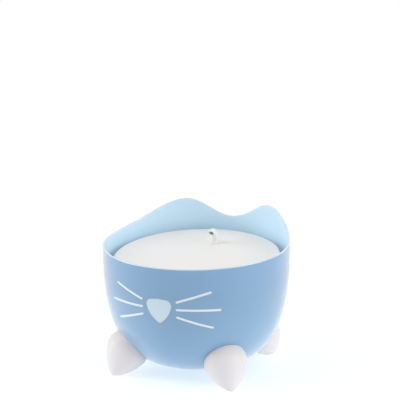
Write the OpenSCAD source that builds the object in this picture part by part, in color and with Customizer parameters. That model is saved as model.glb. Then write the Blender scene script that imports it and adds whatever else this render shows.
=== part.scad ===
// Cat-eared drinking fountain for pets, standing assembled on its four feet.
// Millimetres. Z is up, the nose points to -Y, and the origin is on the floor under the bowl's centre.

/* [Bowl] */
// Outer radius of the bowl at its widest
bowl_r = 118; // [110:0.1:130]
// Thickness of the bowl's side wall
bowl_wall = 2.5; // [2:0.1:3.5]
// Thickness of the bowl's floor
bowl_floor = 3; // [2:0.1:4]
// Height of the bowl's underside above the ground
bowl_lift = 9.5; // [8:0.5:14]
// Height at which the side wall becomes upright
belly_top = 175; // [165:1:190]
// Height that the rounded belly would reach down to without its flat underside
belly_base = 6.2; // [5:0.1:8]
// Roundness of the belly, where 2 is an ellipse
belly_power = 3.1; // [2.8:0.1:3.4]

/* [Rim] */
// Height of the rim at the nose
rim_front = 156.3; // [150:0.1:160]
// Gentle climb of the rim from front to back, ears left out
rim_climb = 11.4; // [2:0.1:14]
// Height of the two ear tips
ear_top = 193.4; // [188:0.1:205]
// Angle of each ear tip from the nose
ear_angle = 150; // [140:1:155]
// Spread of each ear's front slope, in degrees round the rim
ear_spread = 28; // [20:1:42]
// Height of the dip between the ears
dip_top = 171.4; // [162:0.1:178]

/* [Face] */
// Depth of the recesses that hold the nose and the whiskers
face_depth = 1.3; // [0.8:0.1:1.6]
// Set-back of the face pieces from the bowl's surface
face_sink = 0.2; // [0:0.1:0.5]
// Width of the nose
nose_w = 33; // [26:0.5:40]
// Height of the nose
nose_h = 31.4; // [26:0.2:38]
// Height of the nose's lower tip above the ground
nose_z = 86.4; // [80:0.2:95]
// Thickness of a whisker
whisker_t = 3; // [2:0.1:4]
// Sideways distance from the centre to a whisker's inner end
whisker_in = 23.2; // [21:0.1:26]
// Sideways distance from the centre to the middle whisker's outer end
whisker_out = 70.5; // [60:0.5:76]
// How much shorter the upper and lower whiskers are, sideways
whisker_short = 9; // [0:0.5:16]
// Height of the middle whisker above the ground
whisker_z = 105.2; // [100:0.2:110]
// Distance between neighbouring whiskers at their inner ends
whisker_gap = 9.7; // [7:0.1:13]
// Rise of the upper whisker, and drop of the lower one, along their length
whisker_rise = 13; // [0:0.5:18]

/* [Feet] */
// How far inside the bowl's outer radius each foot's tip stands
foot_inset = 4.7; // [3:0.1:9]
// Angle of the front feet from the nose
foot_front_angle = 46; // [40:1:52]
// Angle of the rear feet from the nose
foot_rear_angle = 141; // [134:1:146]
// Largest radius of a foot
foot_r = 27; // [22:0.5:30]
// Length of a foot along its own axis, from the tip to the widest place
foot_len = 39; // [32:0.5:46]
// Length of the rounded end above the widest place
foot_cap = 27; // [20:0.5:34]
// Lean of each foot from upright
foot_lean = 33; // [25:1:40]
// Depth of the flat that each foot stands on
foot_flat = 0.9; // [0.4:0.1:2]

/* [Inside the bowl] */
// Height of the tray's seat above the ground
seat_z = 123.7; // [118:0.1:128]
// Width of the tray's edge that stands on each rib
rib_reach = 2; // [1.5:0.1:3]
// Thickness of a rib
rib_t = 2.2; // [1.6:0.1:3]
// How far a rib's foot slopes back from its edge under the tray
rib_taper = 10; // [6:0.5:14]
// Height of a rib's upright edge below the tray
rib_straight = 28.7; // [20:0.1:40]
// Height above the ground of the step that the pump stands on
pump_z = 32.5; // [31:0.5:36]
// Wall of the collar round the pump's foot
pump_collar_t = 2; // [1.5:0.1:3]
// Height of that collar above the step
pump_collar_h = 3; // [2:0.5:6]

/* [Cable duct] */
// Sideways place of the duct's middle
duct_x = -9; // [-14:0.5:-4]
// Width of the duct over its rounded sides
duct_w = 34; // [30:0.5:38]
// Radius of the duct's two front corners
duct_round = 8; // [5:0.5:8]
// How far the duct stands out from the straight wall
duct_reach = 8.5; // [8.3:0.1:8.7]
// Width of the channel inside the duct
channel_w = 16; // [12:0.5:16.5]
// Width of the strip that covers the channel
cover_w = 18; // [17:0.5:18]
// Thickness of that strip
cover_t = 0.9; // [0.7:0.1:1]
// Height of the duct's lower end
duct_bottom = 98; // [96:1:104]
// Height of the duct's upper end
duct_top = 148; // [147:0.5:152]
// Thickness of the duct's roof over the channel
duct_roof = 2; // [1.5:0.1:2]
// Width of the cable slot through the wall
slot_w = 15; // [12:0.5:15.5]
// Height of the cable slot
slot_h = 12; // [11:0.5:12.5]
// Height of the cable slot's lower edge
slot_z = 133; // [132.5:0.5:133.5]

/* [Pump] */
// Length of the pump
pump_l = 54; // [52:0.5:56]
// Width of the pump
pump_w = 32; // [30:0.5:36]
// Height of the pump's body
pump_h = 33.5; // [32.5:0.5:35]
// Radius of the body's upright corners
pump_corner = 3; // [1.5:0.1:5]
// Turn of the pump about the outlet
pump_yaw = 48; // [40:1:56]
// Distance of the outlet from the pump's knob end
outlet_from_end = 37.5; // [34:0.5:39]
// Outer radius of the outlet nozzle
nozzle_r = 4.75; // [4.4:0.05:5]
// Bore radius of the outlet nozzle
nozzle_bore = 3.2; // [2.6:0.1:3.4]
// Height of the nozzle above the pump
nozzle_h = 18; // [15:0.5:20]
// Radius of the impeller chamber
chamber_r = 11; // [10:0.1:12]
// Length of the impeller chamber
chamber_l = 16; // [14:0.5:17]
// Thickness of the intake cover
intake_t = 3; // [2.5:0.1:3.5]
// Height of the impeller's axis above the pump's underside
impeller_z = 17; // [16:0.1:17.5]
// Radius of the impeller's magnet
magnet_r = 4.8; // [4:0.1:5.2]
// Length of the magnet
magnet_l = 20; // [16:0.5:22]
// Radius of the impeller's shaft
shaft_r = 1; // [0.8:0.05:1.2]
// Number of impeller blades
blades = 6; // [4:1:8]
// Side of the square flow knob
knob_w = 8; // [6:0.5:9]
// How far the knob stands out
knob_out = 5.5; // [4:0.5:7]
// Height of the knob's middle above the pump's underside
knob_z = 21; // [20:0.5:22.5]
// Travel of the knob to each side
knob_travel = 3; // [2:0.5:4]
// Radius of the indicator lens
lens_r = 2.6; // [2:0.1:3]
// Height of the lens above the pump's underside
lens_z = 8.5; // [6:0.5:10]

/* [Tube] */
// Outer radius of the riser tube
tube_r = 6; // [5.5:0.05:6.5]
// Length of the riser tube
tube_l = 44; // [40:0.5:46]
// Length of tube pushed over the nozzle
tube_grip = 10; // [8:0.5:12]
// Distance of the riser inside the bowl's outer radius
tube_inset = 60; // [59:0.5:61]

/* [Tray] */
// Gap between the tray's edge and the bowl's wall
tray_gap = 7.1; // [6.9:0.1:8]
// Thickness of the tray's plate
tray_t = 2.2; // [1.8:0.1:2.6]
// Height of the tray's skirt
tray_h = 6; // [5:0.1:8]
// Width of the flat ledge left round the tray's front
tray_ledge = 4.5; // [3:0.1:6]
// Radius of the round catch basin
basin_r = 83.5; // [81:0.5:84]
// Distance of the basin's centre in front of the tray's centre
basin_y = 45; // [40:0.5:50]
// Depth of the catch basin
basin_d = 4; // [3:0.1:5]
// Width of the basin's sloping side
basin_slope = 20; // [6:0.5:20.5]
// Depth of the filter pocket below the basin
pocket_d = 21; // [16:0.5:22]
// Corner radius of the filter pocket
pocket_corner = 17; // [12:0.5:18]
// Radius of the finger notch behind the pocket
notch_r = 11; // [9:0.5:12]
// Distance of the notch's round end behind the tray's centre
notch_y = 15; // [12:0.5:17]
// Depth of the notch below the basin
notch_d = 10; // [8:0.5:12]
// Length of each window in the pocket's floor
window_w = 30; // [20:0.5:32]
// Width of each window
window_l = 10; // [6:0.5:11]
// Radius of the two finger holes
hole_r = 11.5; // [10:0.1:13]
// Distance of the finger holes' centres inside the tray's edge
hole_inset = 31.4; // [28:0.1:34]
// Angle of the finger holes from the nose
hole_angle = 124; // [116:1:128]

/* [Tube cap] */
// Radius of the tube cap
cap_r = 19.5; // [17:0.1:20]
// Height of the tube cap above the tray
cap_h = 11.5; // [10:0.1:12]
// Wall of the tube cap
cap_wall = 2; // [1.6:0.1:2.6]
// Drop of the cap's rounded shoulder
cap_shoulder = 3.5; // [2:0.1:4]
// Height of the band below the shoulder
cap_band = 3.7; // [3:0.1:5]
// Outer radius of the nipple that the spout sits on
nipple_r = 3.7; // [3.4:0.05:4]
// Height of that nipple
nipple_h = 3.4; // [2.5:0.1:4]
// Length of the tube that the cap's stem fills
stem_grip = 12; // [9:0.5:13]

/* [Pull ring] */
// Outer radius of the pull ring
ring_r = 13.8; // [12:0.1:15]
// Thickness of the ring's band
ring_t = 2.6; // [2:0.1:3.5]
// Width of the ring's band
ring_w = 4; // [3:0.1:5]
// Sideways place of the ring's hinge
ring_x = 33.3; // [33.2:0.1:36]
// Distance of the ring's hinge in from the bowl's outside
ring_inset = 67.8; // [66:0.1:70]

/* [Filter] */
// Width of the filter cartridge
filter_w = 89; // [84:0.5:92]
// Length of the filter cartridge
filter_l = 84; // [80:0.5:88]
// Thickness of the cartridge's flange
flange_t = 1.2; // [0.8:0.1:2]
// Corner radius of the flange
flange_corner = 10; // [8.5:0.5:14]
// Depth of the filter pads below the flange
pad_h = 9.5; // [7:0.5:11]
// Gap between neighbouring pads
pad_gap = 5; // [4:0.5:8]
// Flange that stands out round the pads
flange_rim = 4; // [3:0.5:6]
// Corner radius of a pad
pad_corner = 9; // [6:0.5:12]
// Radius of the cartridge's centre hole
filter_hole = 8; // [6:0.5:9]
// Distance of the filter's centre inside the tray's front edge
filter_inset = 56.4; // [56:0.1:58]

/* [Lid] */
// How much smaller the drinking lid's radius is than the tray's
lid_inset = 3; // [2.8:0.1:5]
// Thickness of the lid
lid_t = 2; // [1.6:0.1:2.6]
// Height of the lid's edge at the nose
lid_front = 4; // [3.6:0.1:5]
// Slope of the lid in degrees
lid_slope = 5.5; // [5:0.1:6.5]
// Depth of the lid's shallow dish
lid_dish = 4; // [2.5:0.1:4.5]
// Flat border round the dish
lid_border = 3; // [2:0.1:5]
// Half angle of the cut-out in the lid's skirt at the nose
lid_gate = 25; // [20:1:30]

/* [Spout] */
// Outer radius of the spout's collar
collar_r = 5.25; // [5:0.05:5.6]
// Height of the spout's collar
collar_h = 10.5; // [9:0.5:12]
// Outer radius of the spout's bent tube
spout_r = 4.3; // [4:0.05:4.6]
// Bore radius of the spout's bent tube
spout_bore = 2.9; // [2.4:0.1:3.2]
// Bend radius of the spout at the middle of its tube
spout_bend = 6.6; // [6:0.1:8]
// Angle that the spout turns through
spout_turn = 125; // [100:5:140]
// Straight length of the spout below its bend
spout_neck = 5; // [3:0.5:7]

/* [Cord] */
// Radius of the cord
cord_r = 1.5; // [1.2:0.05:1.5]
// Number of turns side by side in the coil
coil_rows = 3; // [2:1:4]
// Number of turns on top of each other in the coil
coil_layers = 4; // [3:1:4]
// Radius of the coil at the middle of its turns
coil_r = 16.5; // [16:0.5:18]
// Thickness of the tie round the coil
tie_t = 0.8; // [0.5:0.1:1.2]
// Length of the plug's grip
plug_l = 25; // [20:0.5:30]

/* [Fits] */
// Gap between pieces that rest on each other and lift apart
seat_gap = 0.3; // [0.1:0.05:0.5]
// Radial gap of a push fit or a running fit
run_gap = 0.05; // [0.02:0.01:0.09]
// Side gap round pieces that drop into a pocket
drop_gap = 0.5; // [0.3:0.1:1]

/* [Hidden] */
$fn = 96;

shell_blue = [0.53, 0.67, 0.84];
pale_blue = [0.82, 0.90, 0.96];
warm_white = [0.95, 0.93, 0.91];
carbon_grey = [0.55, 0.58, 0.57];
resin_peach = [0.93, 0.76, 0.64];

room = 30;
above = ear_top + room;
foot_reach = bowl_r - foot_inset;
tube_y = bowl_r - tube_inset;
tray_r = bowl_r - bowl_wall - tray_gap;
hole_dist = tray_r - hole_inset;
filter_y = tray_r - filter_inset;
lid_r = tray_r - lid_inset;
rib_in_r = tray_r - rib_reach;
rib_shoulder = seat_z - rib_straight;
duct_front = bowl_r - bowl_wall - duct_reach;
tray_back = duct_front - 0.8;
ring_y = bowl_r - ring_inset;
inner_base = belly_base + bowl_floor;
inner_floor = bowl_lift + bowl_floor;
belly_steps = 15;
tray_z = seat_z + seat_gap + tray_h;
lid_z = tray_z + seat_gap;
cap_z = tray_z + cap_h;
collar_z = cap_z + seat_gap;
band_z = cap_z - cap_shoulder - cap_band;
pump_top = pump_z + pump_h;
tube_z = pump_top + nozzle_h - tube_grip;
stem_z = tube_z + tube_l - stem_grip;
tube_bore = nozzle_r + run_gap;
basin_z = tray_z - basin_d;
pocket_w = filter_w - 2 * flange_rim + 2 * drop_gap + 2 * tray_t + 4;
pocket_l = filter_l - 2 * flange_rim + 2 * drop_gap + 2 * tray_t + 4;
filter_z = basin_z + seat_gap;
ring_z = tray_z + seat_gap + ring_w / 2;
axis_from_end = outlet_from_end;
far_end = pump_l - outlet_from_end;
chamber_end = far_end - intake_t;
chamber_start = chamber_end - chamber_l;
lid_tilt = tan(lid_slope);
dish_r = lid_r - lid_border;
dish_sphere = (dish_r * dish_r + lid_dish * lid_dish) / (2 * lid_dish);

// The cord's routes, in the order in which the cord runs: sideways, inwards from the bowl's radius, and up.
lead_path = [
    [-34.62, 68.53, 62], [-37.3, 71.5, 62], [-39.97, 74.48, 61.4], [-42.87, 77.25, 60.4], [-47.14, 79.6, 59.1],
    [-51.83, 77.93, 57.8], [-53.98, 73.44, 56.5], [-52.31, 68.75, 55.3], [-48.96, 65.03, 54], [-44.95, 60.57, 52.4],
    [-40.93, 56.11, 50.8], [-36.92, 51.66, 49.4], [-32.16, 47.87, 48.5], [-26.5, 42.5, 48], [-20.5, 37, 48],
    [-15, 31.8, 48.1], [-11.2, 27.4, 48.9], [-9.3, 24.1, 50.4], [-9, 22.12, 52], [-9, 21.2, 54]
];
cord_path = [
    [-9, 21.2, 54], [-9, 18.45, 60], [-9, 15.4, 68], [-9, 12.95, 76], [-9, 11, 84], [-9, 9.4, 92],
    [-9, 8.1, 100], [-9, 7.1, 108], [-9, 6.35, 116], [-9, 5.8, 124], [-9, 5.45, 130],
    [-9, 5.2, 134], [-9, 3.3, 138.2], [-9, -0.7, 140], [-9, -4.7, 138.2], [-9, -6.5, 134],
    [-9, -6.5, 125], [-9, -6.5, 116], [-9, -6.5, 107], [-9, -6.5, 98], [-9, -6.5, 89],
    [-9, -6.5, 80], [-9, -6.5, 71], [-9, -6.5, 62], [-9, -6.5, 53], [-9, -6.5, 44],
    [-9, -6.5, 35], [-9, -6.5, 26], [-8.8, -6.4, 17], [-7.6, -6.1, 9.5], [-5, -5.6, 4.6],
    [-1.5, -5.1, 2.1], [3, -5, 1.5], [8.5, -5, 1.5], [14, -5, 1.5]
];
tail_path = [
    [14, 34, 4.5], [8.5, 34, 4.5], [3, 34, 4.5], [0.5, 34, 4.4], [-2, 34, 4.15], [-4, 34, 4], [-6, 34, 4]
];
function placed(path) = [for (p = path) [p[0], bowl_r - p[1], p[2]]];
tie_w = 8;
coil_x = 14;
coil_y = bowl_r - 14.5;
plug_x = -6;
plug_y = bowl_r - 34;
plug_z = 4;
plug_w = 15;
plug_t = 8;
shell_l = 12;
shell_w = 12;
shell_t = 4.5;

// Points along the belly: half a superellipse, from the flat underside up to the straight wall.
function belly(r, low, flat_z, top) = let (
        h = belly_top - low,
        end = asin(pow((belly_top - flat_z) / h, belly_power / 2))
    ) concat(
        [[0, flat_z]],
        [for (k = [0 : belly_steps]) let (a = end * (1 - k / belly_steps))
            [r * pow(cos(a), 2 / belly_power), belly_top - h * pow(sin(a), 2 / belly_power)]],
        [[r, top], [0, top]]
    );
function belly_radius(z) = let (t = max(0, (belly_top - z) / (belly_top - belly_base)))
    bowl_r * pow(1 - pow(t, belly_power), 1 / belly_power);

// Height of the rim at an angle from the nose.
function rim_base(a) = rim_front + rim_climb * (1 - cos(a)) / 2;
function rim_side(a) = rim_base(a)
    + (ear_top - rim_base(ear_angle)) * exp(-pow(abs(ear_angle - a) / ear_spread, 1.93));
function rim_back(a) = dip_top + (ear_top - dip_top) * (1 - cos(180 * (180 - a) / (180 - ear_angle))) / 2;

// Height of the lid's upper plane at a distance behind the centre.
function lid_plane(y) = lid_z + lid_front + (y + lid_r) * lid_tilt;

function unit(v) = v / norm(v);
function arc(c, r, a0, a1, n) = [for (k = [0 : n]) let (a = a0 + (a1 - a0) * k / n) c + r * [cos(a), sin(a)]];
function curve(p, q, s, n) = [for (k = [1 : n - 1]) let (t = k / n)
    (1 - t) * (1 - t) * p + 2 * t * (1 - t) * q + t * t * s];

// Tangents and side vectors along a route, carried on from ring to ring without twist.
function tangents(route) = [for (k = [0 : len(route) - 1])
    unit(route[min(k + 1, len(route) - 1)] - route[max(k - 1, 0)])];
function sides(t, start) = [for (k = 0, s = unit(start - (start * t[0]) * t[0]); k < len(t);
    k = k + 1, s = k < len(t) ? unit(s - (s * t[k]) * t[k]) : s) s];

module swept_cord(route, start, n = 8) {
    t = tangents(route);
    s = sides(t, start);
    last = n * (len(route) - 1);
    polyhedron(
        points = [for (i = [0 : len(route) - 1]) for (k = [0 : n - 1])
            route[i] + cord_r * (cos(360 * k / n) * s[i] + sin(360 * k / n) * cross(t[i], s[i]))],
        faces = concat(
            [[for (k = [0 : n - 1]) k]],
            [for (i = [0 : len(route) - 2]) for (k = [0 : n - 1])
                [i * n + k, (i + 1) * n + k, (i + 1) * n + (k + 1) % n]],
            [for (i = [0 : len(route) - 2]) for (k = [0 : n - 1])
                [i * n + k, (i + 1) * n + (k + 1) % n, i * n + (k + 1) % n]],
            [[for (k = [n - 1 : -1 : 0]) last + k]]
        )
    );
}

module rounded_plan(w, l, r) {
    square([w - 2 * r, l], center = true);
    square([w, l - 2 * r], center = true);
    for (x = [-1, 1])
        for (y = [-1, 1])
            translate([x * (w / 2 - r), y * (l / 2 - r)])
                circle(r);
}

module slot_plan(w, h) {
    square([w - h, h], center = true);
    for (x = [-1, 1])
        translate([x * (w - h) / 2, 0])
            circle(d = h);
}

// ---- Bowl ----

module belly_solid(inset = 0) {
    rotate_extrude()
        polygon(belly(bowl_r - inset, belly_base + inset, bowl_lift + inset, above));
}

module bowl_hollow() {
    rotate_extrude()
        polygon(belly(bowl_r - bowl_wall, inner_base, inner_floor, above + 1));
}

// What the rim's side view and back view cut away.
module above_rim() {
    step = ear_angle / 42;
    side = concat(
        [[-bowl_r - 5, rim_side(0)]],
        [for (k = [0 : 42]) [-bowl_r * cos(k * step), rim_side(k * step)]],
        [[bowl_r + 5, ear_top], [bowl_r + 5, above + 5], [-bowl_r - 5, above + 5]]
    );
    back_step = (180 - ear_angle) / 14;
    back = concat(
        [[-bowl_r - 5, ear_top]],
        [for (k = [-14 : 14]) [bowl_r * sin(k * back_step), rim_back(180 - abs(k) * back_step)]],
        [[bowl_r + 5, ear_top], [bowl_r + 5, above + 5], [-bowl_r - 5, above + 5]]
    );
    rotate([90, 0, 90])
        linear_extrude(2 * bowl_r + 20, center = true)
            polygon(side);
    translate([0, bowl_r + 10, 0])
        rotate([90, 0, 0])
            linear_extrude(bowl_r + 10)
                polygon(back);
}

module nose_plan() {
    r = nose_w * 0.22;
    tip_r = nose_w * 0.12;
    side_x = nose_w / 2 - r;
    side_z = nose_z + nose_h - 1 - r;
    right_end = [side_x, side_z] + r * [cos(-25), sin(-25)];
    tip_start = [0, nose_z + tip_r] + tip_r * [cos(-35), sin(-35)];
    right = concat(
        arc([side_x, side_z], r, 78, -25, 10),
        curve(right_end, [nose_w * 0.4, nose_z + nose_h * 0.3], tip_start, 8),
        arc([0, nose_z + tip_r], tip_r, -35, -90, 5)
    );
    left = [for (k = [len(right) - 2 : -1 : 0]) [-right[k][0], right[k][1]]];
    polygon(concat([[0, nose_z + nose_h]], right, left));
}

module whisker_plans() {
    for (side = [-1, 1])
        for (row = [-1, 0, 1]) {
            start = [whisker_in, whisker_z + row * whisker_gap];
            reach = [whisker_out - abs(row) * whisker_short - whisker_in, row * whisker_rise];
            middle = start + reach / 2;
            translate([side * middle[0], middle[1]])
                rotate(side * atan2(reach[1], reach[0]))
                    slot_plan(norm(reach) + whisker_t, whisker_t);
        }
}

// A plan of the face pushed through the front wall, between two depths under the bowl's surface.
module face_layer(outer, inner) {
    difference() {
        intersection() {
            translate([0, -bowl_r / 2, 0])
                rotate([90, 0, 0])
                    linear_extrude(bowl_r / 2 + 1)
                        children();
            belly_solid(outer);
        }
        belly_solid(inner);
    }
}

module face_recess() {
    face_layer(-1, face_depth)
        children();
}

module pump_place() {
    translate([0, tube_y, 0])
        rotate(pump_yaw)
            children();
}

module pump_plan(grow = 0) {
    translate([(far_end - axis_from_end) / 2, 0])
        rounded_plan(pump_l + 2 * grow, pump_w + 2 * grow, pump_corner + grow);
}

// Step in the bowl's floor with a low collar that keeps the pump in its place.
module pump_seat() {
    intersection() {
        pump_place()
            difference() {
                linear_extrude(pump_z + pump_collar_h)
                    pump_plan(drop_gap + pump_collar_t);
                translate([0, 0, pump_z - seat_gap])
                    linear_extrude(pump_h)
                        pump_plan(drop_gap);
                linear_extrude(pump_h + pump_z)
                    pump_plan(1 - pump_corner);
            }
        belly_solid(bowl_wall / 2);
    }
}

// Radial ribs that the tray stands on.
module tray_ribs() {
    intersection() {
        difference() {
            union() {
                for (a = [-119, -61, 61, 119])
                    rotate(a)
                        translate([-rib_t / 2, -bowl_r, bowl_lift])
                            cube([rib_t, bowl_r - rib_in_r, seat_z - bowl_lift]);
            }
            rotate_extrude()
                polygon([[0, 0], [rib_in_r - rib_taper, 0], [rib_in_r, rib_shoulder], [rib_in_r, above], [0, above]]);
        }
        belly_solid(bowl_wall / 2);
    }
}

module duct_plan() {
    translate([duct_x, duct_front + duct_round]) {
        translate([duct_round - duct_w / 2, -duct_round])
            square([duct_w - 2 * duct_round, bowl_r]);
        translate([-duct_w / 2, 0])
            square([duct_w, bowl_r]);
        for (side = [-1, 1])
            translate([side * (duct_w / 2 - duct_round), 0])
                circle(duct_round);
    }
}

// Rounded duct on the back wall, with an open channel behind its cover strip.
module duct_block() {
    difference() {
        intersection() {
            translate([0, 0, duct_bottom])
                linear_extrude(duct_top - duct_bottom)
                    duct_plan();
            belly_solid(bowl_wall / 2);
        }
        translate([duct_x - channel_w / 2, 0, 0])
            cube([channel_w, bowl_r, duct_top - duct_roof]);
        translate([duct_x - cover_w / 2, 0, 0])
            cube([cover_w, duct_front + cover_t, duct_top - duct_roof]);
    }
}

module cable_slot() {
    translate([duct_x, bowl_r + 1, slot_z + slot_h / 2])
        rotate([90, 0, 0])
            linear_extrude(bowl_r / 4)
                rounded_plan(slot_w, slot_h, slot_h / 4);
}

module bowl() {
    color(shell_blue)
        difference() {
            union() {
                difference() {
                    belly_solid();
                    bowl_hollow();
                }
                pump_seat();
                tray_ribs();
                duct_block();
            }
            above_rim();
            face_recess() nose_plan();
            face_recess() whisker_plans();
            cable_slot();
        }
}

module nose_window() {
    color(pale_blue)
        face_layer(face_sink, face_depth)
            nose_plan();
}

module whisker_inlays() {
    color(pale_blue)
        face_layer(face_sink, face_depth)
            whisker_plans();
}

// Outline of a foot: a rounded tip that widens, then an elliptical end.
function foot_width(s) = s < foot_len
    ? foot_r * pow(1 - pow((foot_len - s) / foot_len, 1.6), 0.8)
    : foot_r * sqrt(max(0, 1 - pow((s - foot_len) / foot_cap, 2)));

module foot(angle) {
    full = foot_len + foot_cap;
    toe = foot_len * 3 / 26;
    color(warm_white)
        difference() {
            rotate(angle)
                translate([0, -foot_reach, -foot_flat])
                    rotate([-foot_lean, 0, 0])
                        translate([0, 0, -foot_len * 0.015])
                            rotate_extrude()
                                polygon(concat(
                                    [[0, 0]],
                                    [for (k = [1 : 5]) [foot_width(toe * k / 5), toe * k / 5]],
                                    [for (k = [1 : 22]) let (s = toe + (full - toe) * k / 22) [foot_width(s), s]]
                                ));
            belly_solid();
            translate([-bowl_r, -bowl_r, -room])
                cube([2 * bowl_r, 2 * bowl_r, room]);
        }
}

module duct_cover() {
    color(pale_blue)
        translate([duct_x - cover_w / 2, duct_front, duct_bottom])
            cube([cover_w, cover_t, duct_top - duct_roof - duct_bottom]);
}

// ---- Cord ----

module power_cord() {
    color("white") {
        swept_cord(placed(cord_path), [1, 0, 0]);
        swept_cord(placed(tail_path), [0, 1, 0]);
    }
}

// The space that the tie takes round the coil's section, and the space left inside it.
module tie_block(grow = 0) {
    half = coil_rows * cord_r;
    translate([coil_x + coil_r - half - grow, coil_y - tie_w / 2, -grow])
        cube([2 * half + 2 * grow, tie_w, 2 * coil_layers * cord_r + 2 * grow]);
}

module cord_coil() {
    half = coil_rows * cord_r;
    color("white")
        difference() {
            translate([coil_x, coil_y, 0])
                rotate_extrude()
                    translate([coil_r - half, 0])
                        square([2 * half, 2 * coil_layers * cord_r]);
            difference() {
                tie_block(1);
                tie_core();
            }
            cord_channel(1, cord_r);
            cord_channel(-1, 3 * cord_r);
        }
}

// The cord's own space where it joins the coil's outermost turn.
module cord_channel(side, z) {
    translate([coil_x, coil_y + side * (coil_r + (coil_rows - 1) * cord_r), z])
        rotate([0, -90, 0])
            cylinder(r = cord_r, h = coil_r);
}

module cord_tie() {
    color("white")
        difference() {
            tie_block();
            tie_core();
        }
}

module tie_core() {
    half = coil_rows * cord_r - tie_t;
    translate([coil_x + coil_r - half, coil_y - tie_w, tie_t])
        cube([2 * half, 2 * tie_w, 2 * coil_layers * cord_r - 2 * tie_t]);
}

module usb_plug_grip() {
    color("white")
        difference() {
            union() {
                translate([plug_x - plug_l, plug_y, plug_z])
                    rotate([90, 0, 90])
                        linear_extrude(plug_l - 6)
                            rounded_plan(plug_w, plug_t, 2);
                translate([plug_x - 6, plug_y, plug_z])
                    rotate([0, 90, 0])
                        cylinder(r1 = 3.4, r2 = cord_r + 0.9, h = 6);
            }
            translate([plug_x - plug_l - 1, plug_y, plug_z])
                rotate([90, 0, 90])
                    linear_extrude(4)
                        rounded_plan(shell_w, shell_t, 0.6);
        }
}

module usb_plug_shell() {
    color("silver")
        translate([plug_x - plug_l - shell_l, plug_y, plug_z])
            rotate([90, 0, 90])
                difference() {
                    linear_extrude(shell_l + 3)
                        rounded_plan(shell_w, shell_t, 0.6);
                    translate([0, 0, -1])
                        linear_extrude(shell_l - 1)
                            rounded_plan(shell_w - 0.8, shell_t - 0.8, 0.4);
                }
}

// ---- Pump: local X runs from the knob end to the intake end, and the outlet is at the local origin ----

module along_pump(x) {
    translate([x, 0, impeller_z])
        rotate([0, 90, 0])
            children();
}

module pump_housing() {
    color(warm_white)
        pump_place()
            translate([0, 0, pump_z])
                difference() {
                    linear_extrude(pump_h)
                        pump_plan();
                    along_pump(chamber_start)
                        cylinder(r = chamber_r, h = chamber_l + intake_t + 1);
                    along_pump(chamber_start - magnet_l - 1)
                        cylinder(r = magnet_r + 0.4, h = magnet_l + 2);
                    along_pump(chamber_start - magnet_l - 4)
                        cylinder(r = shaft_r, h = 5);
                    translate([0, 0, impeller_z])
                        cylinder(r = nozzle_bore, h = pump_h);
                    translate([far_end - intake_t, 0, impeller_z])
                        rotate([90, 0, 90])
                            linear_extrude(intake_t + 1)
                                rounded_plan(pump_w - 4, 2 * impeller_z - 4, 3);
                    translate([-axis_from_end - 1, -knob_w / 2, knob_z])
                        rotate([90, 0, 90])
                            linear_extrude(4)
                                slot_plan(2 * knob_travel + 8, 4);
                    translate([-axis_from_end - 1, 0, lens_z])
                        rotate([0, 90, 0])
                            cylinder(r = lens_r, h = 3);
                }
}

module pump_nozzle() {
    color(warm_white)
        pump_place()
            translate([0, 0, pump_top])
                rotate_extrude()
                    polygon([
                        [nozzle_bore, 0], [nozzle_r + 1.2, 0], [nozzle_r + 1.2, 1], [nozzle_r, 2.2],
                        [nozzle_r, nozzle_h - 1], [nozzle_r - 0.7, nozzle_h], [nozzle_bore, nozzle_h]
                    ]);
}

module intake_cover() {
    bars = 5;
    color(warm_white)
        pump_place()
            translate([far_end - intake_t, 0, pump_z + impeller_z])
                rotate([90, 0, 90])
                    difference() {
                        linear_extrude(intake_t)
                            rounded_plan(pump_w - 4, 2 * impeller_z - 4, 3);
                        for (k = [-bars : bars])
                            if (abs(k) > 1)
                                translate([k * 2.1, 0, -1])
                                    linear_extrude(intake_t + 2)
                                        square([1, 17 - abs(k)], center = true);
                        translate([0, 0, -1])
                            cylinder(r = shaft_r, h = intake_t);
                    }
}

module impeller_shaft() {
    start = chamber_start - magnet_l - 4;
    color("silver")
        pump_place()
            translate([0, 0, pump_z])
                along_pump(start)
                    cylinder(r = shaft_r, h = far_end - 1 - start);
}

module impeller_magnet() {
    color("dimgray")
        pump_place()
            translate([0, 0, pump_z])
                along_pump(chamber_start - magnet_l)
                    difference() {
                        cylinder(r = magnet_r, h = magnet_l + 1);
                        translate([0, 0, -1])
                            cylinder(r = shaft_r + run_gap, h = magnet_l + 3);
                    }
}

module impeller_wheel() {
    hub = 3.2;
    color("white")
        pump_place()
            translate([0, 0, pump_z])
                along_pump(chamber_start + 1)
                    difference() {
                        union() {
                            cylinder(r = magnet_r + 0.8, h = 1.4);
                            cylinder(r = hub, h = chamber_l - 2.5);
                            for (k = [0 : blades - 1])
                                rotate(k * 360 / blades)
                                    translate([0, -0.6, 0])
                                        cube([chamber_r - 1, 1.2, chamber_l - 3.5]);
                        }
                        translate([0, 0, -1])
                            cylinder(r = shaft_r + run_gap, h = chamber_l + 2);
                    }
}

module indicator_lens() {
    color("red")
        pump_place()
            translate([-axis_from_end - 0.4, 0, pump_z + lens_z])
                rotate([0, 90, 0])
                    cylinder(r = lens_r, h = 2.4);
}

// A boss behind the pump whose tapered end lets the cord out towards the knob end.
module cord_gland() {
    color(warm_white)
        pump_place()
            translate([-axis_from_end, pump_w / 2, pump_top - 4]) {
                translate([14, 0, -4.5])
                    cube([9, 7, 8]);
                translate([8, 4, 0])
                    rotate([0, 90, 0])
                        cylinder(r1 = cord_r + 0.6, r2 = 3, h = 6);
            }
}

module pump_lead() {
    color("white")
        swept_cord(placed(lead_path), [0, 0, 1]);
}

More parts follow.
